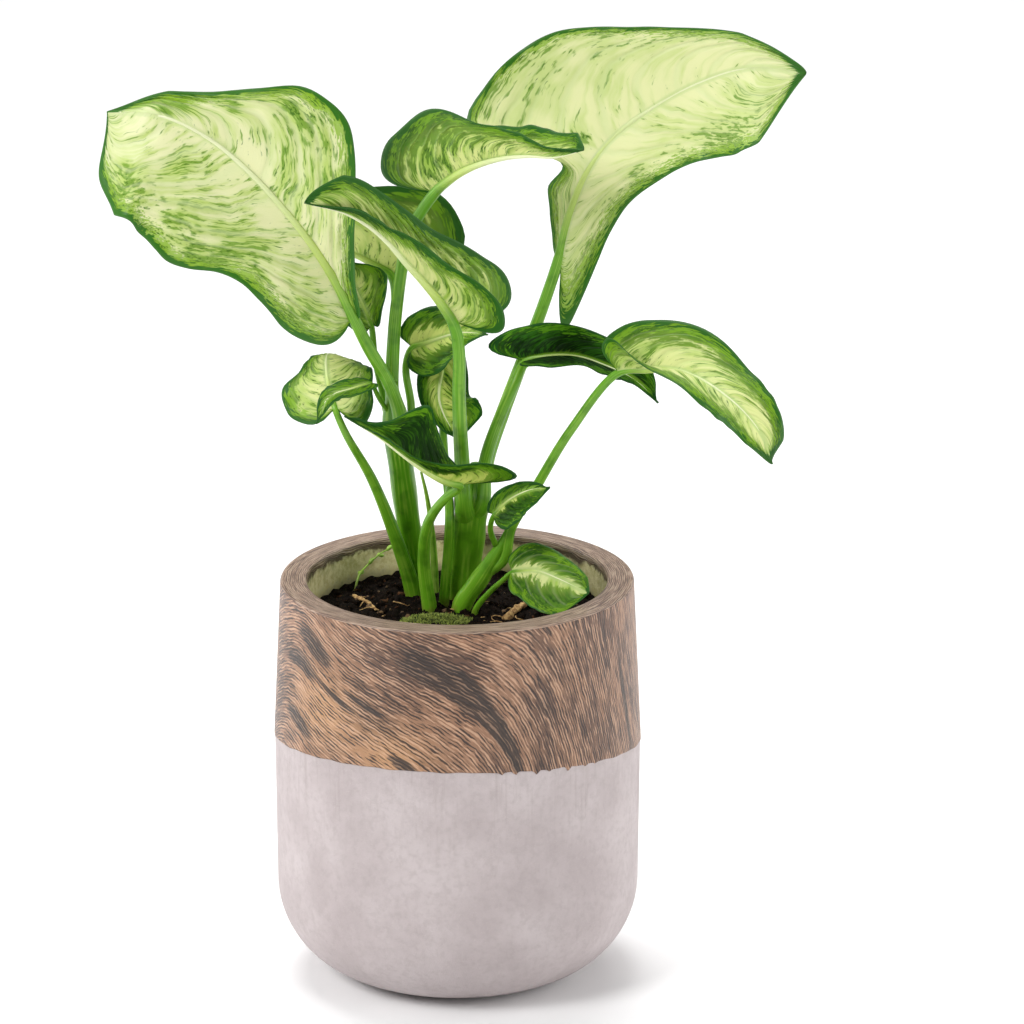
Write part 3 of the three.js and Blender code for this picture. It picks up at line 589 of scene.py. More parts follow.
class Blade:
    """A leaf's blade: the surface of the CAD, puffed up between side veins that are pressed in."""

    def __init__(self, leaf):
        self.leaf = leaf
        self.curve = Curve(leaf["rib"])
        self.length = self.curve.length

    def frame_at(self, a):
        """At a distance along the blade: its share of the length, the midrib, and the ways up and right."""
        t = clamp01(a / self.length)
        way = unit(self.curve.at(np.minimum(t + WAY_REACH, 1)) - self.curve.at(np.maximum(t - WAY_REACH, 0)))
        centre = self.curve.at(t) + way * (a - t * self.length)[..., None]
        first, last = (np.asarray(f, dtype=float) for f in self.leaf["face"])
        face = first + (last - first) * t[..., None]
        face = unit(face - way * np.sum(face * way, axis=-1, keepdims=True))
        return t, centre, face, np.cross(way, face)

    def surface(self, u, v):
        """Points and normals at u, stalk to tip, and v, left to right margin, with the distances in
        from the margin and out from the midrib."""
        found = [np.zeros((len(u), 3)), np.zeros((len(u), 3)), np.zeros(len(u)), np.zeros(len(u))]
        for name, sign in (("left", -1), ("right", 1)):
            mine = (v < 0) if sign < 0 else (v >= 0)
            for all_of_it, part in zip(found, self.half(self.leaf[name], sign, u[mine], np.abs(v[mine]))):
                all_of_it[mine] = part
        return found

    def half(self, half, sign, u, reach):
        """One half of the surface. reach is 0 at the midrib and 1 at the margin."""
        corner = np.sqrt(1 - (1 - clamp01(u / BASE_ROUND)) ** 2)
        blunt = np.sqrt(clamp01((1 - u) / TIP_ROUND))
        wide = np.maximum(TIP_HALF_WIDTH, along(half["widths"], u) * corner * blunt)
        back = half["lobe"] * (1 - u) ** 6 * np.sqrt(1 - (1 - clamp01(u / LOBE_ROUND)) ** 2)
        sweep = half.get("forward", 0) * np.sin(np.pi * u ** half.get("late", 1.6)) - back
        sweep = sweep + along(half.get("slide", [0, 0]), u)
        t, centre, face, right = self.frame_at(self.length * u + reach ** 1.4 * sweep)
        angle = np.radians(along(half["fold"], t))
        height, count, phase = self.leaf.get("wave", (0, 1, 0))
        turn = count * u + phase + (0.35 if sign < 0 else 0)
        ripple = height * reach ** 2.5 * np.sin(2 * np.pi * turn) * np.sin(np.pi * clamp01(u * 0.9 + 0.06))
        out = reach * wide
        lean = np.where(reach > 0, angle, 0)
        normal = face * np.cos(lean)[:, None] - sign * right * np.sin(lean)[:, None]
        aside, up = sign * out * np.cos(angle), out * np.sin(angle)
        point = centre + right * aside[:, None] + face * up[:, None] + normal * ripple[:, None]
        return point, normal, wide - out, out

    def relief(self, u, v, out):
        """How far the blade puffs up between its side veins, and sinks along them."""
        look = self.leaf["look"]
        reach = np.abs(v)
        w = u - vein_sweep(reach)
        q = w * look["veins"] + np.where(v < 0, 0.5, 0)
        puff = np.abs(np.sin(np.pi * q)) ** 0.7 - 0.55
        pillow = 0.72 + 0.28 * np.sin(out * 0.5 + 21 * w)
        inside = ease(reach, 0.02, 0.3) * (1 - ease(reach, 0.72, 1.0))
        inside = inside * ease(u, 0.0, 0.12) * (1 - ease(u, 0.85, 1))
        crisp = 0.35 * np.sin(2 * np.pi * (6.5 * u + 0.6 * np.sin(9 * u) + np.where(v < 0, 0.2, 0)))
        margin = crisp * reach ** 7 * ease(u, 0.05, 0.2) * (1 - ease(u, 0.6, 0.8))
        rib = self.leaf.get("rib_side", -1)
        channel = 0.45 * rib * np.exp(-(out / 1.1) ** 2) * (1 - 0.8 * u)
        return look["puff"] * puff * pillow * inside + margin + channel

    def mesh(self):
        """A closed thin sheet: the upper side, the underside and a strip round the margin."""
        widest = max(max(self.leaf[s]["widths"]) for s in ("left", "right"))
        rows = round(self.length / CELL)
        columns = max(12, round(widest / CELL * 0.8))
        even = np.linspace(0, 1, rows + 1)
        u_line = mix(even, (1 - np.cos(np.pi * even)) / 2, 0.6)
        v_line = np.linspace(-1, 1, 2 * columns + 1)
        u, v = (grid.ravel() for grid in np.meshgrid(u_line, v_line, indexing="ij"))
        point, normal, room, out = self.surface(u, v)
        point = point + normal * self.relief(u, v, out)[:, None]
        half = (HALF_THICKNESS * (1 - 0.6 * ease(np.abs(v), 0.3, 1)))[:, None]
        across = len(v_line)
        count = len(u)
        i, j = (grid.ravel() for grid in np.meshgrid(np.arange(rows), np.arange(across - 1), indexing="ij"))
        a = i * across + j
        upper = np.stack([a, a + 1, a + across + 1, a + across], axis=1)
        lower = upper[:, ::-1] + count
        edge = list(range(across))
        edge += [k * across + across - 1 for k in range(1, rows + 1)]
        edge += [rows * across + k for k in range(across - 2, -1, -1)]
        edge += [k * across for k in range(rows - 1, 0, -1)]
        strip = [(q, p, p + count, q + count) for p, q in zip(edge, edge[1:] + edge[:1])]
        faces = upper.tolist() + lower.tolist() + strip
        slots = [0] * len(upper) + [1] * len(lower) + [0] * len(strip)
        vein = np.stack([u, (v + 1) / 2], axis=1)
        reach = np.stack([room, out], axis=1) / MAP_SPAN
        maps = {"vein": np.vstack([vein, vein]), "reach": np.vstack([reach, reach])}
        return np.vstack([point + normal * half, point - normal * half]), faces, slots, maps


def ridge_radius(leaf, share):
    """The midrib thins from the stalk's last radius to its own at the tip."""
    return mix(leaf["thick"][1], RIDGE_LAST_RADIUS, share ** 0.7)


def ridge_points(leaf, blade):
    """The raised midrib, along the blade."""
    shares = np.linspace(0, 1, 8)
    _, centre, face, _ = blade.frame_at(blade.length * RIDGE_REACH * shares)
    rise = leaf.get("rib_side", -1) * RIDGE_RISE * ridge_radius(leaf, shares)
    return (centre + face * rise[:, None]).tolist()


def sheath_points(leaf):
    """Where the stalk's sheath clasps its cane, from hidden in the cane up to the stalk's foot."""
    cane = CANES[leaf["seat"]]
    curve = Curve(cane["path"])
    foot = np.asarray(leaf["stalk"][0], dtype=float)
    shares = np.linspace(0, 1, 200)
    near = shares[np.argmin(np.linalg.norm(curve.at(shares) - foot, axis=1))]
    points = []
    radii = []
    out = np.asarray(leaf["stalk"][1], dtype=float) - foot
    out = out - curve.way(near) * out.dot(curve.way(near))
    side = unit(out + np.array([0, -0.6, 0]))
    cane_radius = mix(*cane["radii"], near)
    for back, shift, size in SHEATH:
        share = max(0.02, near - back / curve.length)
        points.append((curve.at(share) + side * shift * cane_radius).tolist())
        radii.append(size * cane_radius)
    return points, radii


def make_stalk(leaf, blade):
    """The stalk from its foot or sheath up to the blade, and on along it as the midrib."""
    sheathed = leaf["seat"] in CANES and leaf["thick"][0] > 1.5
    sheath, sheath_radii = sheath_points(leaf) if sheathed else ([], [])
    path = sheath + [list(p) for p in leaf["stalk"]] + ridge_points(leaf, blade)
    curve = Curve(path)
    spots = [curve.run[round(k * 400 / (len(path) - 1))] / curve.length for k in range(len(path))]
    foot = spots[len(sheath)]
    blade_start = spots[len(sheath) + len(leaf["stalk"])]
    first, last = leaf["thick"]

    def radius_at(share, angles):
        if share < foot:
            size = np.interp(share, spots[: len(sheath) + 1], sheath_radii + [first])
        elif share < blade_start:
            size = mix(first, last, ((share - foot) / (blade_start - foot)) ** 0.7)
        else:
            size = ridge_radius(leaf, (share - blade_start) / (1 - blade_start))
        channel = 0.16 * np.exp(-((np.pi - angles) / 0.55) ** 2) * (ease(share, foot, foot + 0.1))
        return size * (1 - channel)

    points, faces, stem = tube(path, radius_at, side_hint=-np.asarray(leaf["face"][0], dtype=float))
    ridge = clamp01((stem[:, 1] / curve.length - blade_start) / (1 - blade_start))
    return points, faces, {"stem": stem, "ridge": np.stack([ridge, 0 * ridge], axis=1)}


# Paints

def tones(green_depth_and_shade, light, dark):
    """A colour between a light and a dark one, all 0..255."""
    return [mix(a, b, green_depth_and_shade) for a, b in zip(light, dark)]


def leaf_paint(leaf, number, under):
    """One side of a leaf: cream with lime clouds and green dashes along its side veins, feathered
    lime near the margin, and a green border."""
    look = leaf["look"]
    green_depth_and_shade, cream, edge = look["green_depth_and_shade"], look["cream"], look["border"]
    paint = Paint(f"leaf {leaf['name'].replace('_', ' ')} {'underside' if under else 'upper side'}")
    u, v = paint.map("vein")
    room, out = (value * MAP_SPAN for value in paint.map("reach"))
    reach = abs(v * 2 - 1)
    half = paint.step(v, 0.499, 0.501)
    place = paint.place()
    warp = paint.noise(place, 0.1, 2.0) - 0.5
    w = u - vein_sweep(reach) + warp * 0.05
    length = Curve(leaf["rib"]).length
    seed = half * 31.7 + number * 7.3
    outer = paint.step(reach, 0.3, 0.75)

    def streaks(across, onward, offset):
        """Noise drawn out along the side veins. They crowd towards the margin, so the noise is
        coarser there."""
        inner = paint.vector(w * (length * across), out * onward, seed + offset)
        crowded = paint.vector(w * (length * across * CROWDING), u * (length * onward), seed + offset + 3)
        a, b = (paint.noise(vector, 1.0, 2.0, 0.5) for vector in (inner, crowded))
        return a + (b - a) * outer

    streak, dash, fine = streaks(0.28, 0.08, 0), streaks(0.8, 0.22, 5), streaks(1.9, 0.6, 9)
    cloud = paint.noise(place, 0.055, 2.0)
    # Every tone darkens with green_depth_and_shade: partly the leaf's own green, partly painted shade on
    # leaves that stand in the shade of others.
    lime = tones(green_depth_and_shade, (204, 222, 120), (118, 168, 30))
    leafy = tones(green_depth_and_shade, (136, 180, 50), (34, 84, 8))
    dark = tones(green_depth_and_shade, (62, 124, 18), (8, 30, 4))

    # The pale part: cream with lime clouds, green patches and dark dots
    haze = streak * 0.6 + cloud * 0.4 + paint.step(reach, 0.0, 0.7) * 0.1
    patch = dash * 0.5 + streak * 0.25 + cloud * 0.25 + paint.step(reach, 0.1, 0.8) * 0.06
    level = 0.61 - 0.1 * look["dash"]
    pale = paint.layers(
        tones(green_depth_and_shade, (243, 241, 219), (198, 214, 84)),
        (paint.step(haze, 0.44, 0.66) * look["lime"], lime),
        (paint.step(patch, level, level + 0.06) * 0.8, leafy),
        (paint.step(fine * 0.5 + patch * 0.5, level + 0.04, level + 0.09) * 0.75, dark),
    )

    # The green part, feathered along the veins
    feather = reach + (streak - 0.5) * 0.7 + (dash - 0.5) * 0.6 + (fine - 0.5) * 0.3
    feather = feather - paint.step(u, 0.4, 0.0) * look["pale_foot"]
    greens = paint.layers(
        dark,
        (paint.step(fine * 0.3 + dash * 0.4 + cloud * 0.3, 0.42, 0.6), leafy),
        (paint.step(feather, cream + 0.3, cream + 0.02) * 0.4, lime),
    )

    # Side veins are pale, and the midrib is a pale band. Lime feathers lead over to the border.
    q = w * look["veins"] + (1 - half) * 0.5
    gap = abs(q - paint.maths("ROUND", q))
    vein = paint.step(gap, 0.2, 0.0) * paint.step(reach, 0.95, 0.6)
    inward = room + (dash - 0.5) * 14 + (streak - 0.5) * 6 + (fine - 0.5) * 8
    lip = paint.step(inward, edge + 3.0, edge + 1.6)
    ragged = room + (dash - 0.5) * 7 - paint.step(u, 0.9, 1.0) * 3
    colour = paint.layers(
        pale,
        (paint.step(feather, cream - 0.05, cream + 0.05), greens),
        (vein * max(0, 0.62 - 0.9 * green_depth_and_shade), tones(green_depth_and_shade, (242, 244, 210), (130, 172, 48))),
        (paint.step(out, 1.9, 0.8) * 0.7, tones(green_depth_and_shade, (236, 240, 196), (120, 166, 46))),
        (lip * 0.8, tones(green_depth_and_shade, (164, 204, 40), (78, 134, 20))),
        (lip * paint.step(fine * 0.5 + streak * 0.5, 0.5, 0.56) * 0.85, dark),
        (paint.step(ragged, edge + 0.4, edge - 0.4), tones(green_depth_and_shade, (66, 132, 30), (20, 66, 16))),
        (paint.step(room, 0.9, 0.3) * 0.5, tones(green_depth_and_shade, (92, 142, 72), (46, 90, 40))),
    )
    ridges = vein * 0.7 + (streak - 0.5) * 0.6 + (fine - 0.5) * 0.2
    normal = paint.bump(ridges * (1 if under else -1), 0.35)
    glow = paint.tint(colour, (1.0, 1.0, mix(0.72, 0.4, green_depth_and_shade)))
    # Painted shade goes on here too: a leaf with more green_depth_and_shade is rougher, shines less and lets
    # less light through.
    roughness, share, shine = mix(0.34, 0.5, green_depth_and_shade), mix(0.3, 0.12, green_depth_and_shade), mix(0.34, 0.02, green_depth_and_shade)
    return paint.finish(colour, roughness, normal, glow, share, shine=shine)


def stem_paint(name, foot, top, height, ribbed=False):
    """Fleshy green, paler at the foot, with faint lengthwise stripes. A ribbed one turns pale
    where it runs on along a blade."""
    paint = Paint(name)
    turn, run = paint.map("stem")
    stripes = paint.noise(paint.vector(turn * 16, run * 0.04, 1.7), 1.0, 2.0, 0.6)
    place = paint.place()
    blotch = paint.noise(place, 0.16, 2.0)
    _, _, z = paint.parts(place)
    earth = paint.step(z, SOIL_HEIGHT + 6, SOIL_HEIGHT - 1) * paint.step(blotch, 0.35, 0.6)
    coats = [
        (paint.step(z, SOIL_HEIGHT, SOIL_HEIGHT + height), top),
        (paint.step(stripes, 0.45, 0.7) * 0.5, (168, 208, 80)),
        (paint.step(blotch, 0.48, 0.7) * 0.4, (50, 106, 12)),
        (earth * 0.6, (120, 96, 50)),
    ]
    if ribbed:
        along_rib, _ = paint.map("ridge")
        coats.append((paint.step(along_rib, 0.0, 0.25) * 0.9, (196, 216, 112)))
        coats.append((paint.step(along_rib, 0.15, 0.7), (232, 237, 192)))
    colour = paint.layers(foot, *coats)
    glow = paint.tint(colour, (1.0, 1.0, 0.4))
    return paint.finish(colour, 0.3, paint.bump(stripes, 0.12), glow, 0.12, 0.1, 0.3)


def concrete_paint():
    """Bare cast concrete, cloudy, with pale and dark grit, and stained under the band."""
    paint = Paint("bare concrete")
    place = paint.place()
    x, y, z = paint.parts(place)
    cloud = paint.noise(place, 0.035, 4.0, 0.6)
    mottle = paint.noise(place, 0.35, 4.0, 0.65)
    grit = paint.noise(place, 3.2, 2.0, 0.7)
    smear = paint.noise(paint.vector(x * 0.5, y * 0.5, z * 0.03), 1.0, 3.0, 0.6)
    colour = paint.layers(
        (192, 182, 182),
        (paint.step(cloud, 0.3, 0.72), (175, 164, 164)),
        (paint.step(mottle, 0.42, 0.7) * 0.4, (163, 152, 151)),
        (paint.step(smear, 0.5, 0.75) * paint.step(z, 55, 95) * 0.4, (156, 144, 141)),
        (paint.step(grit, 0.64, 0.74) * 0.4, (136, 126, 124)),
        (paint.step(grit, 0.36, 0.27) * 0.5, (226, 219, 217)),
    )
    return paint.finish(colour, 0.82, paint.bump(mottle, 0.25, paint.bump(grit, 0.12)))


def wall_paint():
    """The pale cement inside the pot, stained dark under the rim and damp over the soil."""
    paint = Paint("cement wall")
    place = paint.place()
    _, _, z = paint.parts(place)
    cloud = paint.noise(place, 0.06, 3.0, 0.6)
    mottle = paint.noise(place, 0.4, 4.0, 0.65)
    moss = paint.step(cloud, 0.45, 0.65) * paint.step(z, POT_HEIGHT - 12, POT_HEIGHT - 5)
    damp = paint.step(z + (mottle - 0.5) * 10, SOIL_HEIGHT + 5, SOIL_HEIGHT - 1)
    stain = paint.step(z + (mottle - 0.5) * 5 + (cloud - 0.5) * 7, POT_HEIGHT - 5.4, POT_HEIGHT - 3.4)
    colour = paint.layers(
        (220, 208, 162),
        (paint.step(mottle, 0.35, 0.65), (192, 178, 128)),
        (moss * 0.7, (104, 108, 66)),
        (damp * 0.7, (84, 74, 52)),
        (stain * 0.9, (70, 50, 36)),
    )
    return paint.finish(colour, 0.8, paint.bump(mottle, 0.5))


def grain_paint():
    """Brown wood grain with scorched streaks, greyer on the rim. It reads make_band's two maps."""
    paint = Paint("brown wood grain")
    across, rim = paint.map("grain")
    burn, warm = paint.map("tone")
    place = paint.place()
    f = across * 10
    ripple = f + (paint.noise(place, 0.2, 2.0) - 0.5) * 1.6
    lines = paint.noise(paint.scaled(place, 0.1), 1.0, 2.0, 0.6, ripple * 1.05)
    comb = paint.maths("SINE", ripple * 5.4) * 0.5 + 0.5
    fibre = paint.noise(paint.scaled(place, 0.22), 1.0, 2.0, 0.6, f * 2.6)
    tone = lines * 0.6 + comb * 0.13 + fibre * 0.27
    blotch = paint.noise(paint.scaled(place, 0.035), 1.0, 3.0, 0.55, f * 0.07)
    pale = paint.step(tone, 0.53, 0.6)
    scorch = paint.step(burn + (lines - 0.5) * 0.9 + (fibre - 0.5) * 0.5, 0.42, 0.62)
    drift = paint.step(blotch, 0.6, 0.68) * 0.5
    grey = paint.layers(
        (142, 116, 98),
        (paint.step(tone, 0.5, 0.58) * 0.8, (184, 160, 140)),
        (paint.step(tone, 0.49, 0.43) * 0.8, (84, 64, 54)),
    )
    colour = paint.layers(
        (140, 103, 78),
        (paint.step(blotch, 0.4, 0.6), (96, 68, 52)),
        (warm * 0.7, (190, 144, 100)),
        (pale * 0.64, (204, 164, 134)),
        (paint.step(tone, 0.475, 0.42) * 0.95, (46, 31, 24)),
        (paint.maths("MAXIMUM", scorch * 0.9, drift) * (1 - pale * 0.35), (38, 27, 22)),
        (paint.step(rim, 5, 6), grey),
    )
    return paint.finish(colour, 0.46, paint.bump(tone, 0.9), coat=0.1)


def earth_paint(name, dark, light):
    """Crumbly earth or bark with a few tan specks."""
    paint = Paint(name)
    place = paint.place()
    lump = paint.noise(place, 0.5, 4.0, 0.65)
    grit = paint.cells(place, 1.3)
    colour = paint.layers(
        dark,
        (paint.step(lump, 0.35, 0.68), light),
        (paint.step(grit, 0.18, 0.1) * 0.6, (122, 84, 56)),
    )
    return paint.finish(colour, 0.95, paint.bump(lump + grit * 0.5, 0.7), shine=0.1)


def dry_paint(name, dark, light):
    """A rough matt skin in two tones."""
    paint = Paint(name)
    place = paint.place()
    rough = paint.noise(place, 0.9, 3.0, 0.6)
    colour = paint.blend(paint.step(rough, 0.35, 0.66), dark, light)
    return paint.finish(colour, 0.85, paint.bump(rough, 0.3))


# Pot

def dip_line(x, y):
    """The height of the band's lower edge, a slanted plane through the pot."""
    return DIP_HEIGHT + DIP_SLOPE_X * x + DIP_SLOPE_Y * y


def select_between(mesh, kind, low, high):
    """In edit mode, selects the faces or edges whose corners all lie between two heights."""
    bpy.ops.object.mode_set(mode="OBJECT")
    parts, others = (mesh.polygons, mesh.edges) if kind == "FACE" else (mesh.edges, mesh.polygons)
    for unwanted in (mesh.vertices, others):
        unwanted.foreach_set("select", np.zeros(len(unwanted), dtype=bool))
    heights = [corner.co.z / MM for corner in mesh.vertices]
    for part in parts:
        part.select = all(low < heights[i] < high for i in part.vertices)
    bpy.ops.object.mode_set(mode="EDIT")
    bpy.ops.mesh.select_mode(type=kind)


def make_pot(outside_paint, inside_paint):
    """The cast body: a turned cylinder with a round foot, hollowed from its top. Under the band its
    skin is set back."""
    body_radius = BODY_RADIUS - POT_INSET
    rim_radius = RIM_RADIUS - RIM_INSET
    bpy.ops.mesh.primitive_cylinder_add(
        vertices=192, radius=body_radius * MM, depth=POT_HEIGHT * MM, location=(0, 0, POT_HEIGHT * MM / 2)
    )
    pot = bpy.context.object
    pot.name = pot.data.name = "pot_body"
    bpy.ops.object.transform_apply(location=True, rotation=False, scale=False)
    mesh = pot.data
    bpy.ops.object.mode_set(mode="EDIT")
    bpy.ops.mesh.select_mode(type="FACE")
    select_between(mesh, "FACE", POT_HEIGHT - 1, POT_HEIGHT + 1)
    scale = rim_radius / body_radius
    bpy.ops.transform.resize(value=(scale, scale, 1), center_override=(0, 0, 0))
    bpy.ops.transform.translate(value=(0, 0, -RIM_SINK * MM))
    bpy.ops.mesh.inset(thickness=(rim_radius - BORE_RADIUS - 0.05) * MM)
    down = (0, 0, -(POT_HEIGHT - FLOOR_HEIGHT - RIM_SINK) * MM)
    bpy.ops.mesh.extrude_region_move(TRANSFORM_OT_translate={"value": down})
    select_between(mesh, "EDGE", -1, 1)
    bpy.ops.mesh.bevel(offset=(BODY_RADIUS - FOOT_RADIUS) * MM, segments=20)
    select_between(mesh, "EDGE", FLOOR_HEIGHT - 0.5, FLOOR_HEIGHT + 0.5)
    bpy.ops.mesh.bevel(offset=BORE_CORNER * MM, segments=8)
    select_between(mesh, "EDGE", POT_HEIGHT - 1, POT_HEIGHT + 1)
    bpy.ops.mesh.bevel(offset=RIM_EDGE * MM, segments=3)
    normal = (-DIP_SLOPE_X, -DIP_SLOPE_Y, 1)
    for lift in (BAND_STEP - 0.5, BAND_STEP + 0.5):
        bpy.ops.mesh.select_all(action="SELECT")
        bpy.ops.mesh.bisect(plane_co=(0, 0, (DIP_HEIGHT + lift) * MM), plane_no=normal)
    bpy.ops.object.mode_set(mode="OBJECT")
    points = np.empty(len(mesh.vertices) * 3)
    mesh.vertices.foreach_get("co", points)
    points = points.reshape(-1, 3) / MM
    radius = np.hypot(points[:, 0], points[:, 1])
    above = points[:, 2] > dip_line(points[:, 0], points[:, 1]) + BAND_STEP
    skin = body_radius - np.maximum(0, points[:, 2] - SHOULDER_HEIGHT) * WALL_TAPER
    outside = (radius > BORE_RADIUS + 4) & (points[:, 2] > 45)
    wanted = np.where(outside, np.where(above, np.minimum(radius, skin - SKIN_SINK), skin), radius)
    points[:, :2] *= (wanted / np.maximum(radius, 1e-6))[:, None]
    mesh.vertices.foreach_set("co", (points * MM).ravel())
    mesh.materials.clear()
    mesh.materials.append(outside_paint)
    mesh.materials.append(inside_paint)
    for face in mesh.polygons:
        middle = face.center / MM
        reach = math.hypot(middle.x, middle.y)
        inward = face.normal.x * middle.x + face.normal.y * middle.y < 0.2 * reach
        face.material_index = int(inward and reach < BORE_RADIUS + 0.5 and middle.z > FLOOR_HEIGHT - 1)
    pot.select_set(True)
    bpy.context.view_layer.objects.active = pot
    bpy.ops.object.shade_smooth_by_angle(angle=math.radians(35))
    bpy.ops.object.select_all(action="DESELECT")
    return pot


# Lean of the grain lines in degrees, by degrees round the band from the front towards the right.
GRAIN_LEANS = [
    (-180, 42), (-130, 38), (-90, 34), (-73, 27), (-66, 5), (-58, -24), (-48, -27), (-39, -21), (-14, -25),
    (5, -36), (14, -50), (22, -65), (33, -76), (45, -82), (62, -86), (82, -80), (96, -45), (106, 0),
    (118, 35), (145, 45), (180, 42),
]

# The field that the grain follows: its levels from the lowest up, and how far the leans shift round
# the pot, in radians for each millimetre over the middle
GRAIN_LEVELS = 64
GRAIN_LOW = 78
GRAIN_MIDDLE = 125
GRAIN_TILT = 0.0045
BAND_COLUMNS = 480
WALL_ROWS = 90

# Dark strokes in the grain: degrees round, height, half width across and reach in degrees.
DARK_STROKES = [
    (-3, 139, 4.4, 20), (-5, 147, 2.6, 13), (13, 121, 2.8, 9), (-52, 147, 4.6, 10), (-60, 138, 3.6, 11),
    (-60, 114, 3.4, 9), (-16, 106, 2.8, 6), (67, 118, 2.2, 5), (-30, 128, 1.4, 9), (-40, 128, 1.2, 8),
    (100, 120, 3.0, 14), (140, 130, 3.4, 18), (175, 112, 2.6, 15), (-150, 134, 3.2, 17),
    (-120, 110, 2.4, 14), (-95, 138, 2.6, 12),
]

# Warm patches: degrees round, height and size. They are wider than high.
WARM_STRETCH = 1.3
WARM_PATCHES = [(-47, 122, 15), (-20, 108, 12), (150, 120, 18), (-110, 125, 16)]


def flow_lines(lean, step_round, step_up):
    """A smooth field whose level lines follow the leans, about a millimetre for each millimetre across."""
    columns, rows = lean.shape
    wave = 2 * np.pi * np.fft.fftfreq(columns, step_round)
    up = (np.eye(rows)[1:] - np.eye(rows)[:-1]) / step_up
    across_up = (np.cos(lean)[:, 1:] + np.cos(lean)[:, :-1]) / 2
    wanted = np.fft.fft(across_up, axis=0) @ up - 1j * wave[:, None] * np.fft.fft(-np.sin(lean), axis=0)
    system = up.T @ up + (wave[:, None, None] ** 2 + 1e-9) * np.eye(rows)
    return np.fft.ifft(np.linalg.solve(system, wanted[..., None])[..., 0], axis=0).real


def band_profile(phi, low):
    """Rows of (radius, height, whether it belongs to the rim) from the dip line up and over the rim."""
    rows = []
    for share in np.linspace(0, 1, WALL_ROWS + 1):
        z = mix(low, POT_HEIGHT - RIM_ROUND, share)
        rows.append((BODY_RADIUS - np.maximum(0, z - SHOULDER_HEIGHT) * WALL_TAPER, z, False))
    rows.insert(0, (rows[0][0] - 0.5, low, False))
    turns = [(math.sin(angle), math.cos(angle)) for angle in np.linspace(0, math.pi / 2, 6)[1:]]
    for sine, cosine in turns:
        rows.append((RIM_RADIUS - RIM_ROUND * (1 - cosine), POT_HEIGHT - RIM_ROUND * (1 - sine), True))
    for share in np.linspace(0, 1, 9)[1:]:
        rows.append((mix(RIM_RADIUS - RIM_ROUND, BORE_RADIUS + RIM_ROUND, share), POT_HEIGHT, True))
    for sine, cosine in turns:
        rows.append((BORE_RADIUS + RIM_ROUND * (1 - sine), POT_HEIGHT - RIM_ROUND * (1 - cosine), True))
    ragged = 0.5 * np.sin(phi * 17) + 0.4 * np.sin(phi * 39 + 1)
    for drop in (0.9, 1.8):
        rows.append((BORE_RADIUS, POT_HEIGHT - RIM_ROUND - drop + ragged * drop / 1.8, True))
    rows.append((BORE_RADIUS + 0.4, rows[-1][1], True))
    return [(radius + 0 * phi, z + 0 * phi, on_rim) for radius, z, on_rim in rows]


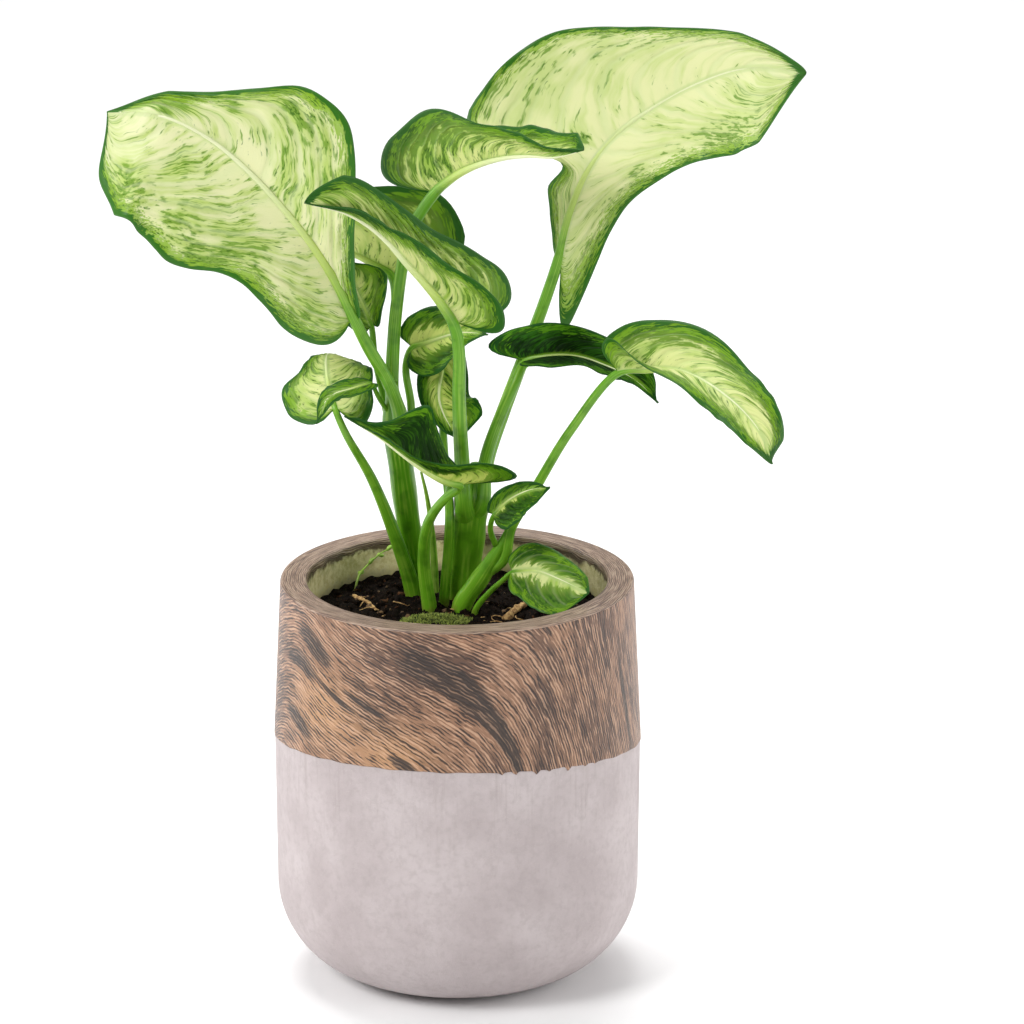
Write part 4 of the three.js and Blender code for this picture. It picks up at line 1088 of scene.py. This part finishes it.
def make_band(material):
    """The dipped band: outside from the ragged dip line to the rim, over it and just inside. Its
    grain map counts centimetres across the grain, and its tone map holds how dark and warm it is."""
    phi = np.linspace(-math.pi, math.pi, BAND_COLUMNS + 1)
    levels = np.linspace(GRAIN_LOW, POT_HEIGHT, GRAIN_LEVELS)
    turned = np.degrees(phi[:-1, None]) - np.degrees(GRAIN_TILT * (levels - GRAIN_MIDDLE))
    places, leans = zip(*GRAIN_LEANS)
    lean = np.radians(np.interp((turned + 180) % 360 - 180, places, leans))
    field = flow_lines(lean, BODY_RADIUS * (phi[1] - phi[0]), levels[1] - levels[0])
    field = np.vstack([field, field[:1]])

    # The dip line waves a little, and right of the front it has run down in drips.
    low = dip_line(BODY_RADIUS * np.sin(phi), -BODY_RADIUS * np.cos(phi))
    spill = ease(phi, 0.12, 0.3) * (1 - ease(phi, 0.75, 0.9))
    drips = spill * np.maximum(0, np.sin(phi * 61) + 0.9 * np.sin(phi * 97 + 2) - 0.3) * 1.1
    low = low - drips + 0.12 * np.sin(phi * 23) + 0.1 * np.sin(phi * 41 + 1)
    profile = band_profile(phi, low)

    # A dark stroke follows the grain line through its middle.
    strokes = []
    for degrees, height, width, reach in DARK_STROKES:
        column = int((degrees + 180) / 360 * BAND_COLUMNS)
        middle = np.interp(height, levels, field[column])
        strokes.append((math.radians(degrees), middle, width, math.radians(reach)))
    points, grain_rows, tone_rows = [], [], []
    rim_run = 0
    last = None
    for radius, z, _ in profile:
        points.append(np.stack([radius * np.sin(phi), -radius * np.cos(phi), z], axis=1)[:-1])
        wall_run = np.array([np.interp(height, levels, column) for height, column in zip(z, field)])
        middle = (float(np.mean(radius)), float(np.mean(z)))
        rim_run += math.dist(middle, last) if last else 0
        last = middle
        swirl = 1.8 * np.exp(-((phi - 0.95) / 0.2) ** 2) * math.sin(rim_run * 0.5)
        wall = np.stack([wall_run, 0 * phi], axis=1) / 10
        rim = np.stack([rim_run * 1.5 + 1.2 * np.sin(3 * phi) + swirl, 0 * phi + 100], axis=1) / 10
        grain_rows.append((wall, rim))
        burn = sum(np.exp(-((wall_run - f) / w) ** 2 - ((phi - p) / r) ** 2) for p, f, w, r in strokes)
        warm = 0 * phi
        for degrees, height, size in WARM_PATCHES:
            gap = ((phi - math.radians(degrees)) * BODY_RADIUS / WARM_STRETCH) ** 2 + (z - height) ** 2
            warm = warm + np.exp(-gap / size ** 2)
        tone_rows.append(np.stack([clamp01(burn), clamp01(warm)], axis=1))
    faces, grain, tone = [], [], []
    for k in range(len(profile) - 1):
        side = int(profile[k][2])
        for i in range(BAND_COLUMNS):
            corners = ((k, i), (k, i + 1), (k + 1, i + 1), (k + 1, i))
            faces.append([row * BAND_COLUMNS + column % BAND_COLUMNS for row, column in corners])
            grain.extend(grain_rows[row][side][column] for row, column in corners)
            tone.extend(tone_rows[row][column] for row, column in corners)
    band = add_piece("grain_band", np.vstack(points), faces, [material])
    for name, values in (("grain", grain), ("tone", tone)):
        layer = band.data.uv_layers.new(name=name)
        layer.data.foreach_set("uv", np.asarray(values, dtype=np.float32).ravel())
    return band


# Soil and what lies on it

def soil_lift(x, y):
    """The soft lumps of the soil, as in the CAD. They fade towards the wall."""
    lumps = np.sin(x * 0.31 + 1.2) * np.cos(y * 0.27) + 0.6 * np.sin(x * 0.53 - y * 0.47)
    return LUMP_HEIGHT * lumps * clamp01((BORE_RADIUS - np.hypot(x, y)) / SOIL_EDGE)


def rough(x, y, scale, seed):
    """Smooth random lumps from a few sines, about -1..1."""
    total = 0
    for k in range(5):
        angle = seed * 1.7 + k * 2.4
        run = x * math.cos(angle) + y * math.sin(angle)
        total = total + np.sin(run * scale * (1 + 0.37 * k) + seed * (k + 1))
    return total / 3.2


def ground(x, y):
    """The height of the soil without its finest crumbs."""
    return SOIL_HEIGHT + soil_lift(x, y) + LUMP_HEIGHT * rough(x, y, LUMP_SCALE, 1.3)


def make_earth(material):
    """The crumbly top of the soil, with a skirt down along the wall."""
    radii = np.linspace(0.4, BORE_RADIUS - 0.25, 70)
    turns = 200
    r, turn = np.meshgrid(radii, np.linspace(0, 2 * np.pi, turns, endpoint=False), indexing="ij")
    x, y = r * np.cos(turn), r * np.sin(turn)
    z = ground(x, y) + 0.5 * rough(x, y, 1.5, 4.1) + rng.normal(0, 0.22, r.shape)
    z[-1] += 0.8
    top = np.stack([x, y, z], axis=-1).reshape(-1, 3)
    skirt = top[-turns:].copy()
    skirt[:, 2] = SOIL_HEIGHT - 14
    last = len(top)
    faces = [tuple(range(turns)), tuple(range(last + turns - 1, last - 1, -1))]
    for row in range(0, last, turns):
        for i in range(turns):
            j = (i + 1) % turns
            faces.append((row + i, row + turns + i, row + turns + j, row + j))
    return add_piece("earth", np.vstack([top, skirt]), faces, [material])


def scattered(count, reach=BORE_RADIUS - 2.5):
    """Random places on the soil."""
    radius = reach * np.sqrt(rng.random(count))
    angle = 2 * np.pi * rng.random(count)
    x, y = radius * np.cos(angle), radius * np.sin(angle)
    return np.stack([x, y, ground(x, y)], axis=1)


def template(add, **shape):
    """Points and faces of a Blender primitive."""
    add(**shape)
    helper = bpy.context.object
    mesh = helper.data
    points = np.array([corner.co[:] for corner in mesh.vertices])
    faces = [tuple(face.vertices) for face in mesh.polygons]
    bpy.data.objects.remove(helper)
    bpy.data.meshes.remove(mesh)
    return points, faces


def turn_matrix():
    """A random turn about a random axis."""
    axis = unit(rng.normal(size=3))
    x, y, z = axis
    angle = rng.random() * 2 * np.pi
    c, s = math.cos(angle), math.sin(angle)
    skew = np.array([[0, -z, y], [z, 0, -x], [-y, x, 0]])
    return np.eye(3) * c + s * skew + (1 - c) * np.outer(axis, axis)


def make_crumbs(materials):
    """Clods, bark chips and root bits strewn over the soil, in three tones."""
    clod = template(bpy.ops.mesh.primitive_ico_sphere_add, subdivisions=1, radius=1)
    chip = template(bpy.ops.mesh.primitive_cube_add, size=1)
    points, faces, slots, start = [], [], [], 0
    for k, place in enumerate(scattered(900)):
        is_chip = k % 7 == 0
        shape, their = chip if is_chip else clod
        size = 0.5 + 1.1 * rng.random() ** 2.5
        stretch = size * (np.array([2.6, 1.3, 0.6]) if is_chip else 0.7 + 0.6 * rng.random(3))
        rough_shape = shape * stretch + rng.normal(0, 0.13 * size, shape.shape)
        points.append(rough_shape @ turn_matrix().T + place + [0, 0, 0.35 * size])
        faces.extend(tuple(start + i for i in face) for face in their)
        slots.extend([1 if is_chip else (2 if k % 11 == 3 else 0)] * len(their))
        start += len(shape)
    return add_piece("soil_crumbs", np.vstack(points), faces, materials, slots)


def make_fibres(material):
    """Thin root bits that wander over the soil."""
    parts = []
    for x, y, _ in scattered(34, BORE_RADIUS - 8):
        heading = rng.random() * 2 * np.pi
        path = []
        for k in range(5):
            heading += rng.normal(0, 0.6)
            x, y = x + math.cos(heading) * 2.4, y + math.sin(heading) * 2.4
            if math.hypot(x, y) > BORE_RADIUS - 2:
                break
            path.append([x, y, SOIL_HEIGHT + float(soil_lift(x, y)) + 0.7 + 0.6 * math.sin(k * 1.3)])
        if len(path) > 2:
            parts.append(tube(path, thinning(0.28, 0.6), 1.5, 6, (0, 0, 1)))
    points, faces, _ = joined(parts)
    return add_piece("soil_fibres", points, faces, [material])


def make_moss(materials):
    """A low cushion with hundreds of tiny pointed leaves."""
    points, faces, slots = [], [], []
    for start in range(0, 4 * MOSS_LEAVES, 4):
        angle = rng.random() * 2 * np.pi
        reach = math.sqrt(rng.random())
        x, y = MOSS_REACH[0] * reach * math.cos(angle), MOSS_REACH[1] * reach * math.sin(angle)
        lift = 2.2 * (1 - reach ** 2) + 0.3 * math.sin(x * 0.9) * math.cos(y * 1.3)
        height = SOIL_HEIGHT + 0.2 + lift * rng.random() ** 0.4
        foot = np.array([MOSS_PLACE[0] + x, MOSS_PLACE[1] + y, height])
        lean = unit(np.array([x * 0.05, y * 0.1 - 0.1, 0.8]) + rng.normal(0, 0.45, 3))
        side = unit(np.cross(lean, rng.normal(size=3)))
        size = 0.8 + 0.9 * rng.random()
        wide = 0.22 + 0.12 * rng.random()
        third = foot + np.cross(lean, side) * wide * 1.2
        points.append([foot - side * wide, foot + side * wide, third, foot + lean * size])
        for corners in ((0, 1, 3), (1, 2, 3), (2, 0, 3), (0, 2, 1)):
            faces.append([start + i for i in corners])
        slots.extend([int(rng.random() < 0.3)] * 4)
    return add_piece("moss_tufts", np.vstack(points), faces, materials, slots)


def limb(start, way, run, fall):
    """A short path of three points that goes off and droops."""
    return [start.tolist(), (start + way * run[0]).tolist(), (start + way * run[1] - [0, 0, fall]).tolist()]


def make_root(name, path, thick, material):
    """A dry, knotty root with a few side twigs."""
    def radius_at(share, angles):
        knots = 1 + 0.22 * math.sin(share * 23) + 0.12 * math.sin(share * 57 + 1)
        return mix(thick, thick * 0.5, share) * knots * (1 + 0.15 * np.sin(3 * angles + share * 9))

    path = [[x, y, SOIL_HEIGHT + height] for x, y, height in path]
    parts = [tube(path, radius_at, 0.7, 12, (0, 0, 1))]
    for place in Curve(path).at((0.25, 0.5, 0.72)):
        way = unit(rng.normal(size=3) * [1, 1, 0.15])
        parts.append(tube(limb(place, way, (2.5, 4.5), 0.8), thinning(0.4 * thick, 0.7), 0.8, 6, (0, 0, 1)))
    points, faces, _ = joined(parts)
    return add_piece(name, points, faces, [material])


def make_sprig(material):
    """A limp green sprig that leans on the pot's inner wall, with a few narrow leaflets."""
    def leaflet(share, angles):
        wide = 0.25 + 1.1 * math.sin(math.pi * min(1, share + 0.05))
        return wide * (0.25 + 0.75 * np.abs(np.cos(angles)))

    curve = Curve(SPRIG_PATH)
    parts = [tube(SPRIG_PATH, thinning(0.55, 0.6), 1.0, 8)]
    for share, side in ((0.3, -1), (0.5, 1), (0.7, -1), (0.85, 1)):
        way = unit(curve.way(share) * 0.7 + np.array([0.2, -0.4, 0.5]) * side)
        parts.append(tube(limb(curve.at(share), way, (2.2, 4.5), 0.6), leaflet, 0.6, 10))
    points, faces, maps = joined(parts)
    return add_piece("sprig", points, faces, [material], maps={"stem": maps})


# Canes

def make_cane(name, cane, material):
    """A fleshy shoot, a little folded where sheaths wrap it."""
    first, last = cane["radii"]

    def radius_at(share, angles):
        fold = 0.04 * np.maximum(0, np.sin(2 * angles + share * 5)) + 0.03 * np.sin(share * 26)
        return mix(first, last, share) * (1 + fold) * (1 - 0.6 * ease(share, cane["taper"], 1))

    points, faces, maps = tube(cane["path"], radius_at, 1.4, 28)
    return add_piece(name, points, faces, [material], maps={"stem": maps})


# Build

def build():
    """All pieces, each with its CAD node and its slot. The order fixes the random draws."""
    greens = {
        "stalk": stem_paint("leaf stalks", (104, 166, 30), (98, 158, 32), 70, True),
        "cane": stem_paint("canes", (112, 172, 34), (84, 146, 22), 60),
        "spear": stem_paint("new leaf", (160, 196, 84), (140, 186, 66), 50),
    }
    concrete = concrete_paint()
    grain = grain_paint()
    soil = earth_paint("dark soil", (8, 5, 3), (28, 19, 12))
    bark = earth_paint("bark chips", (44, 28, 18), (92, 62, 40))
    tan = dry_paint("tan bits", (62, 46, 28), (118, 90, 58))
    root = dry_paint("dry root", (128, 92, 52), (200, 164, 108))
    moss = dry_paint("moss", (112, 128, 44), (176, 190, 92))
    moss_dark = dry_paint("moss shade", (48, 62, 22), (96, 112, 44))

    dress(make_pot(concrete, wall_paint()), ["concrete_pot"])
    dress(make_band(grain), ["wood_sleeve"])
    dress(make_earth(soil), ["soil"])
    dress(make_crumbs([soil, bark, tan]), [])
    dress(make_fibres(root), [])
    dress(make_moss([moss, moss_dark]), ["moss_patch"])
    dress(make_root("tan_root", TAN_ROOT, 1.5, root), ["dry_root"])
    dress(make_root("thin_root", THIN_ROOT, 0.9, root), [])
    for name, cane in CANES.items():
        dress(make_cane(f"shoot_{name}", cane, greens["cane"]), [f"cane_{name}"])
    points, faces, maps = tube(SPEAR_PATH, lambda share, angles: mix(1.6, 0.5, share ** 2), 1.4, 14)
    spear = add_piece("spear", points, faces, [greens["spear"]], maps={"stem": maps})
    dress(spear, ["new_spear"])
    dress(make_sprig(greens["spear"]), [])
    for number, leaf in enumerate(LEAVES):
        node = f"leaf_{leaf['name']}"
        blade = Blade(leaf)
        points, faces, slots, maps = blade.mesh()
        skins = [leaf_paint(leaf, number, False), leaf_paint(leaf, number, True)]
        dress(add_piece(f"blade_{leaf['name']}", points, faces, skins, slots, maps), [node])
        points, faces, maps = make_stalk(leaf, blade)
        stalk = add_piece(f"stalk_{leaf['name']}", points, faces, [greens["stalk"]], maps=maps)
        dress(stalk, [node])


# Stage

# Soft lights: place and size in metres, power in watts
LIGHTS = (
    ("key", (-1.35, -1.15, 1.5), 0.8, 31),
    ("fill", (1.5, -0.9, 0.8), 0.9, 10),
    ("left edge", (-1.5, 0.5, 0.6), 0.9, 9),
    ("right edge", (1.5, 0.5, 0.6), 0.9, 9),
    ("back", (0.3, 1.1, 1.5), 1.0, 8),
)
LIT_PLACE = (0, 0, 0.2)
SUN_POWER = 1.7
SKY_POWER = 0.3


def add_lamp(name, kind, power, turn, place=(0, 0, 0)):
    """A lamp, which shines down until it is turned."""
    lamp = bpy.data.lights.new(name, kind)
    lamp.energy = power
    holder = bpy.data.objects.new(name, lamp)
    holder.location = place
    holder.rotation_euler = turn
    bpy.context.collection.objects.link(holder)
    return lamp


def make_stage():
    """A pale floor, a white sky, a soft sun from above and soft lights around."""
    bpy.ops.mesh.primitive_plane_add(size=6)
    floor = bpy.context.object
    floor.name = "floor"
    floor.data.materials.append(Paint("pale floor").finish((0.9, 0.9, 0.9), 0.9))
    world = bpy.data.worlds.new("studio")
    bpy.context.scene.world = world
    world.use_nodes = True
    sky = world.node_tree.nodes["Background"]
    sky.inputs["Color"].default_value = (1, 1, 1, 1)
    sky.inputs["Strength"].default_value = SKY_POWER
    sun = add_lamp("overhead", "SUN", SUN_POWER, (math.radians(-20), math.radians(-8), 0))
    sun.angle = math.radians(30)
    for name, place, size, power in LIGHTS:
        x, y, z = np.subtract(LIT_PLACE, place)
        turn = (math.atan2(math.hypot(x, y), -z), 0, math.atan2(y, x) - math.pi / 2)
        add_lamp(name, "AREA", power, turn, place).size = size


# Camera: what it looks at and from how far, in millimetres, and how wide the photo's pixels are
CAMERA_TARGET = (21.4, 0, 186.5)
CAMERA_DISTANCE = 2500
CAMERA_DROP = math.radians(17.3)
PIXELS_PER_RADIAN = 6427.5
PHOTO_WIDTH = 1024


def make_camera():
    """The photo's view: a long lens that looks down a little from far off."""
    data = bpy.data.cameras.new("camera")
    data.sensor_width = 36
    data.lens = data.sensor_width * PIXELS_PER_RADIAN / PHOTO_WIDTH
    data.clip_end = 20
    camera = bpy.data.objects.new("camera", data)
    x, y, z = CAMERA_TARGET
    back = CAMERA_DISTANCE * math.cos(CAMERA_DROP)
    camera.location = (x * MM, (y - back) * MM, (z + CAMERA_DISTANCE * math.sin(CAMERA_DROP)) * MM)
    camera.rotation_euler = (math.pi / 2 - CAMERA_DROP, 0, 0)
    bpy.context.collection.objects.link(camera)
    bpy.context.scene.camera = camera


bpy.context.scene.view_settings.view_transform = "Standard"
make_camera()
make_stage()
build()
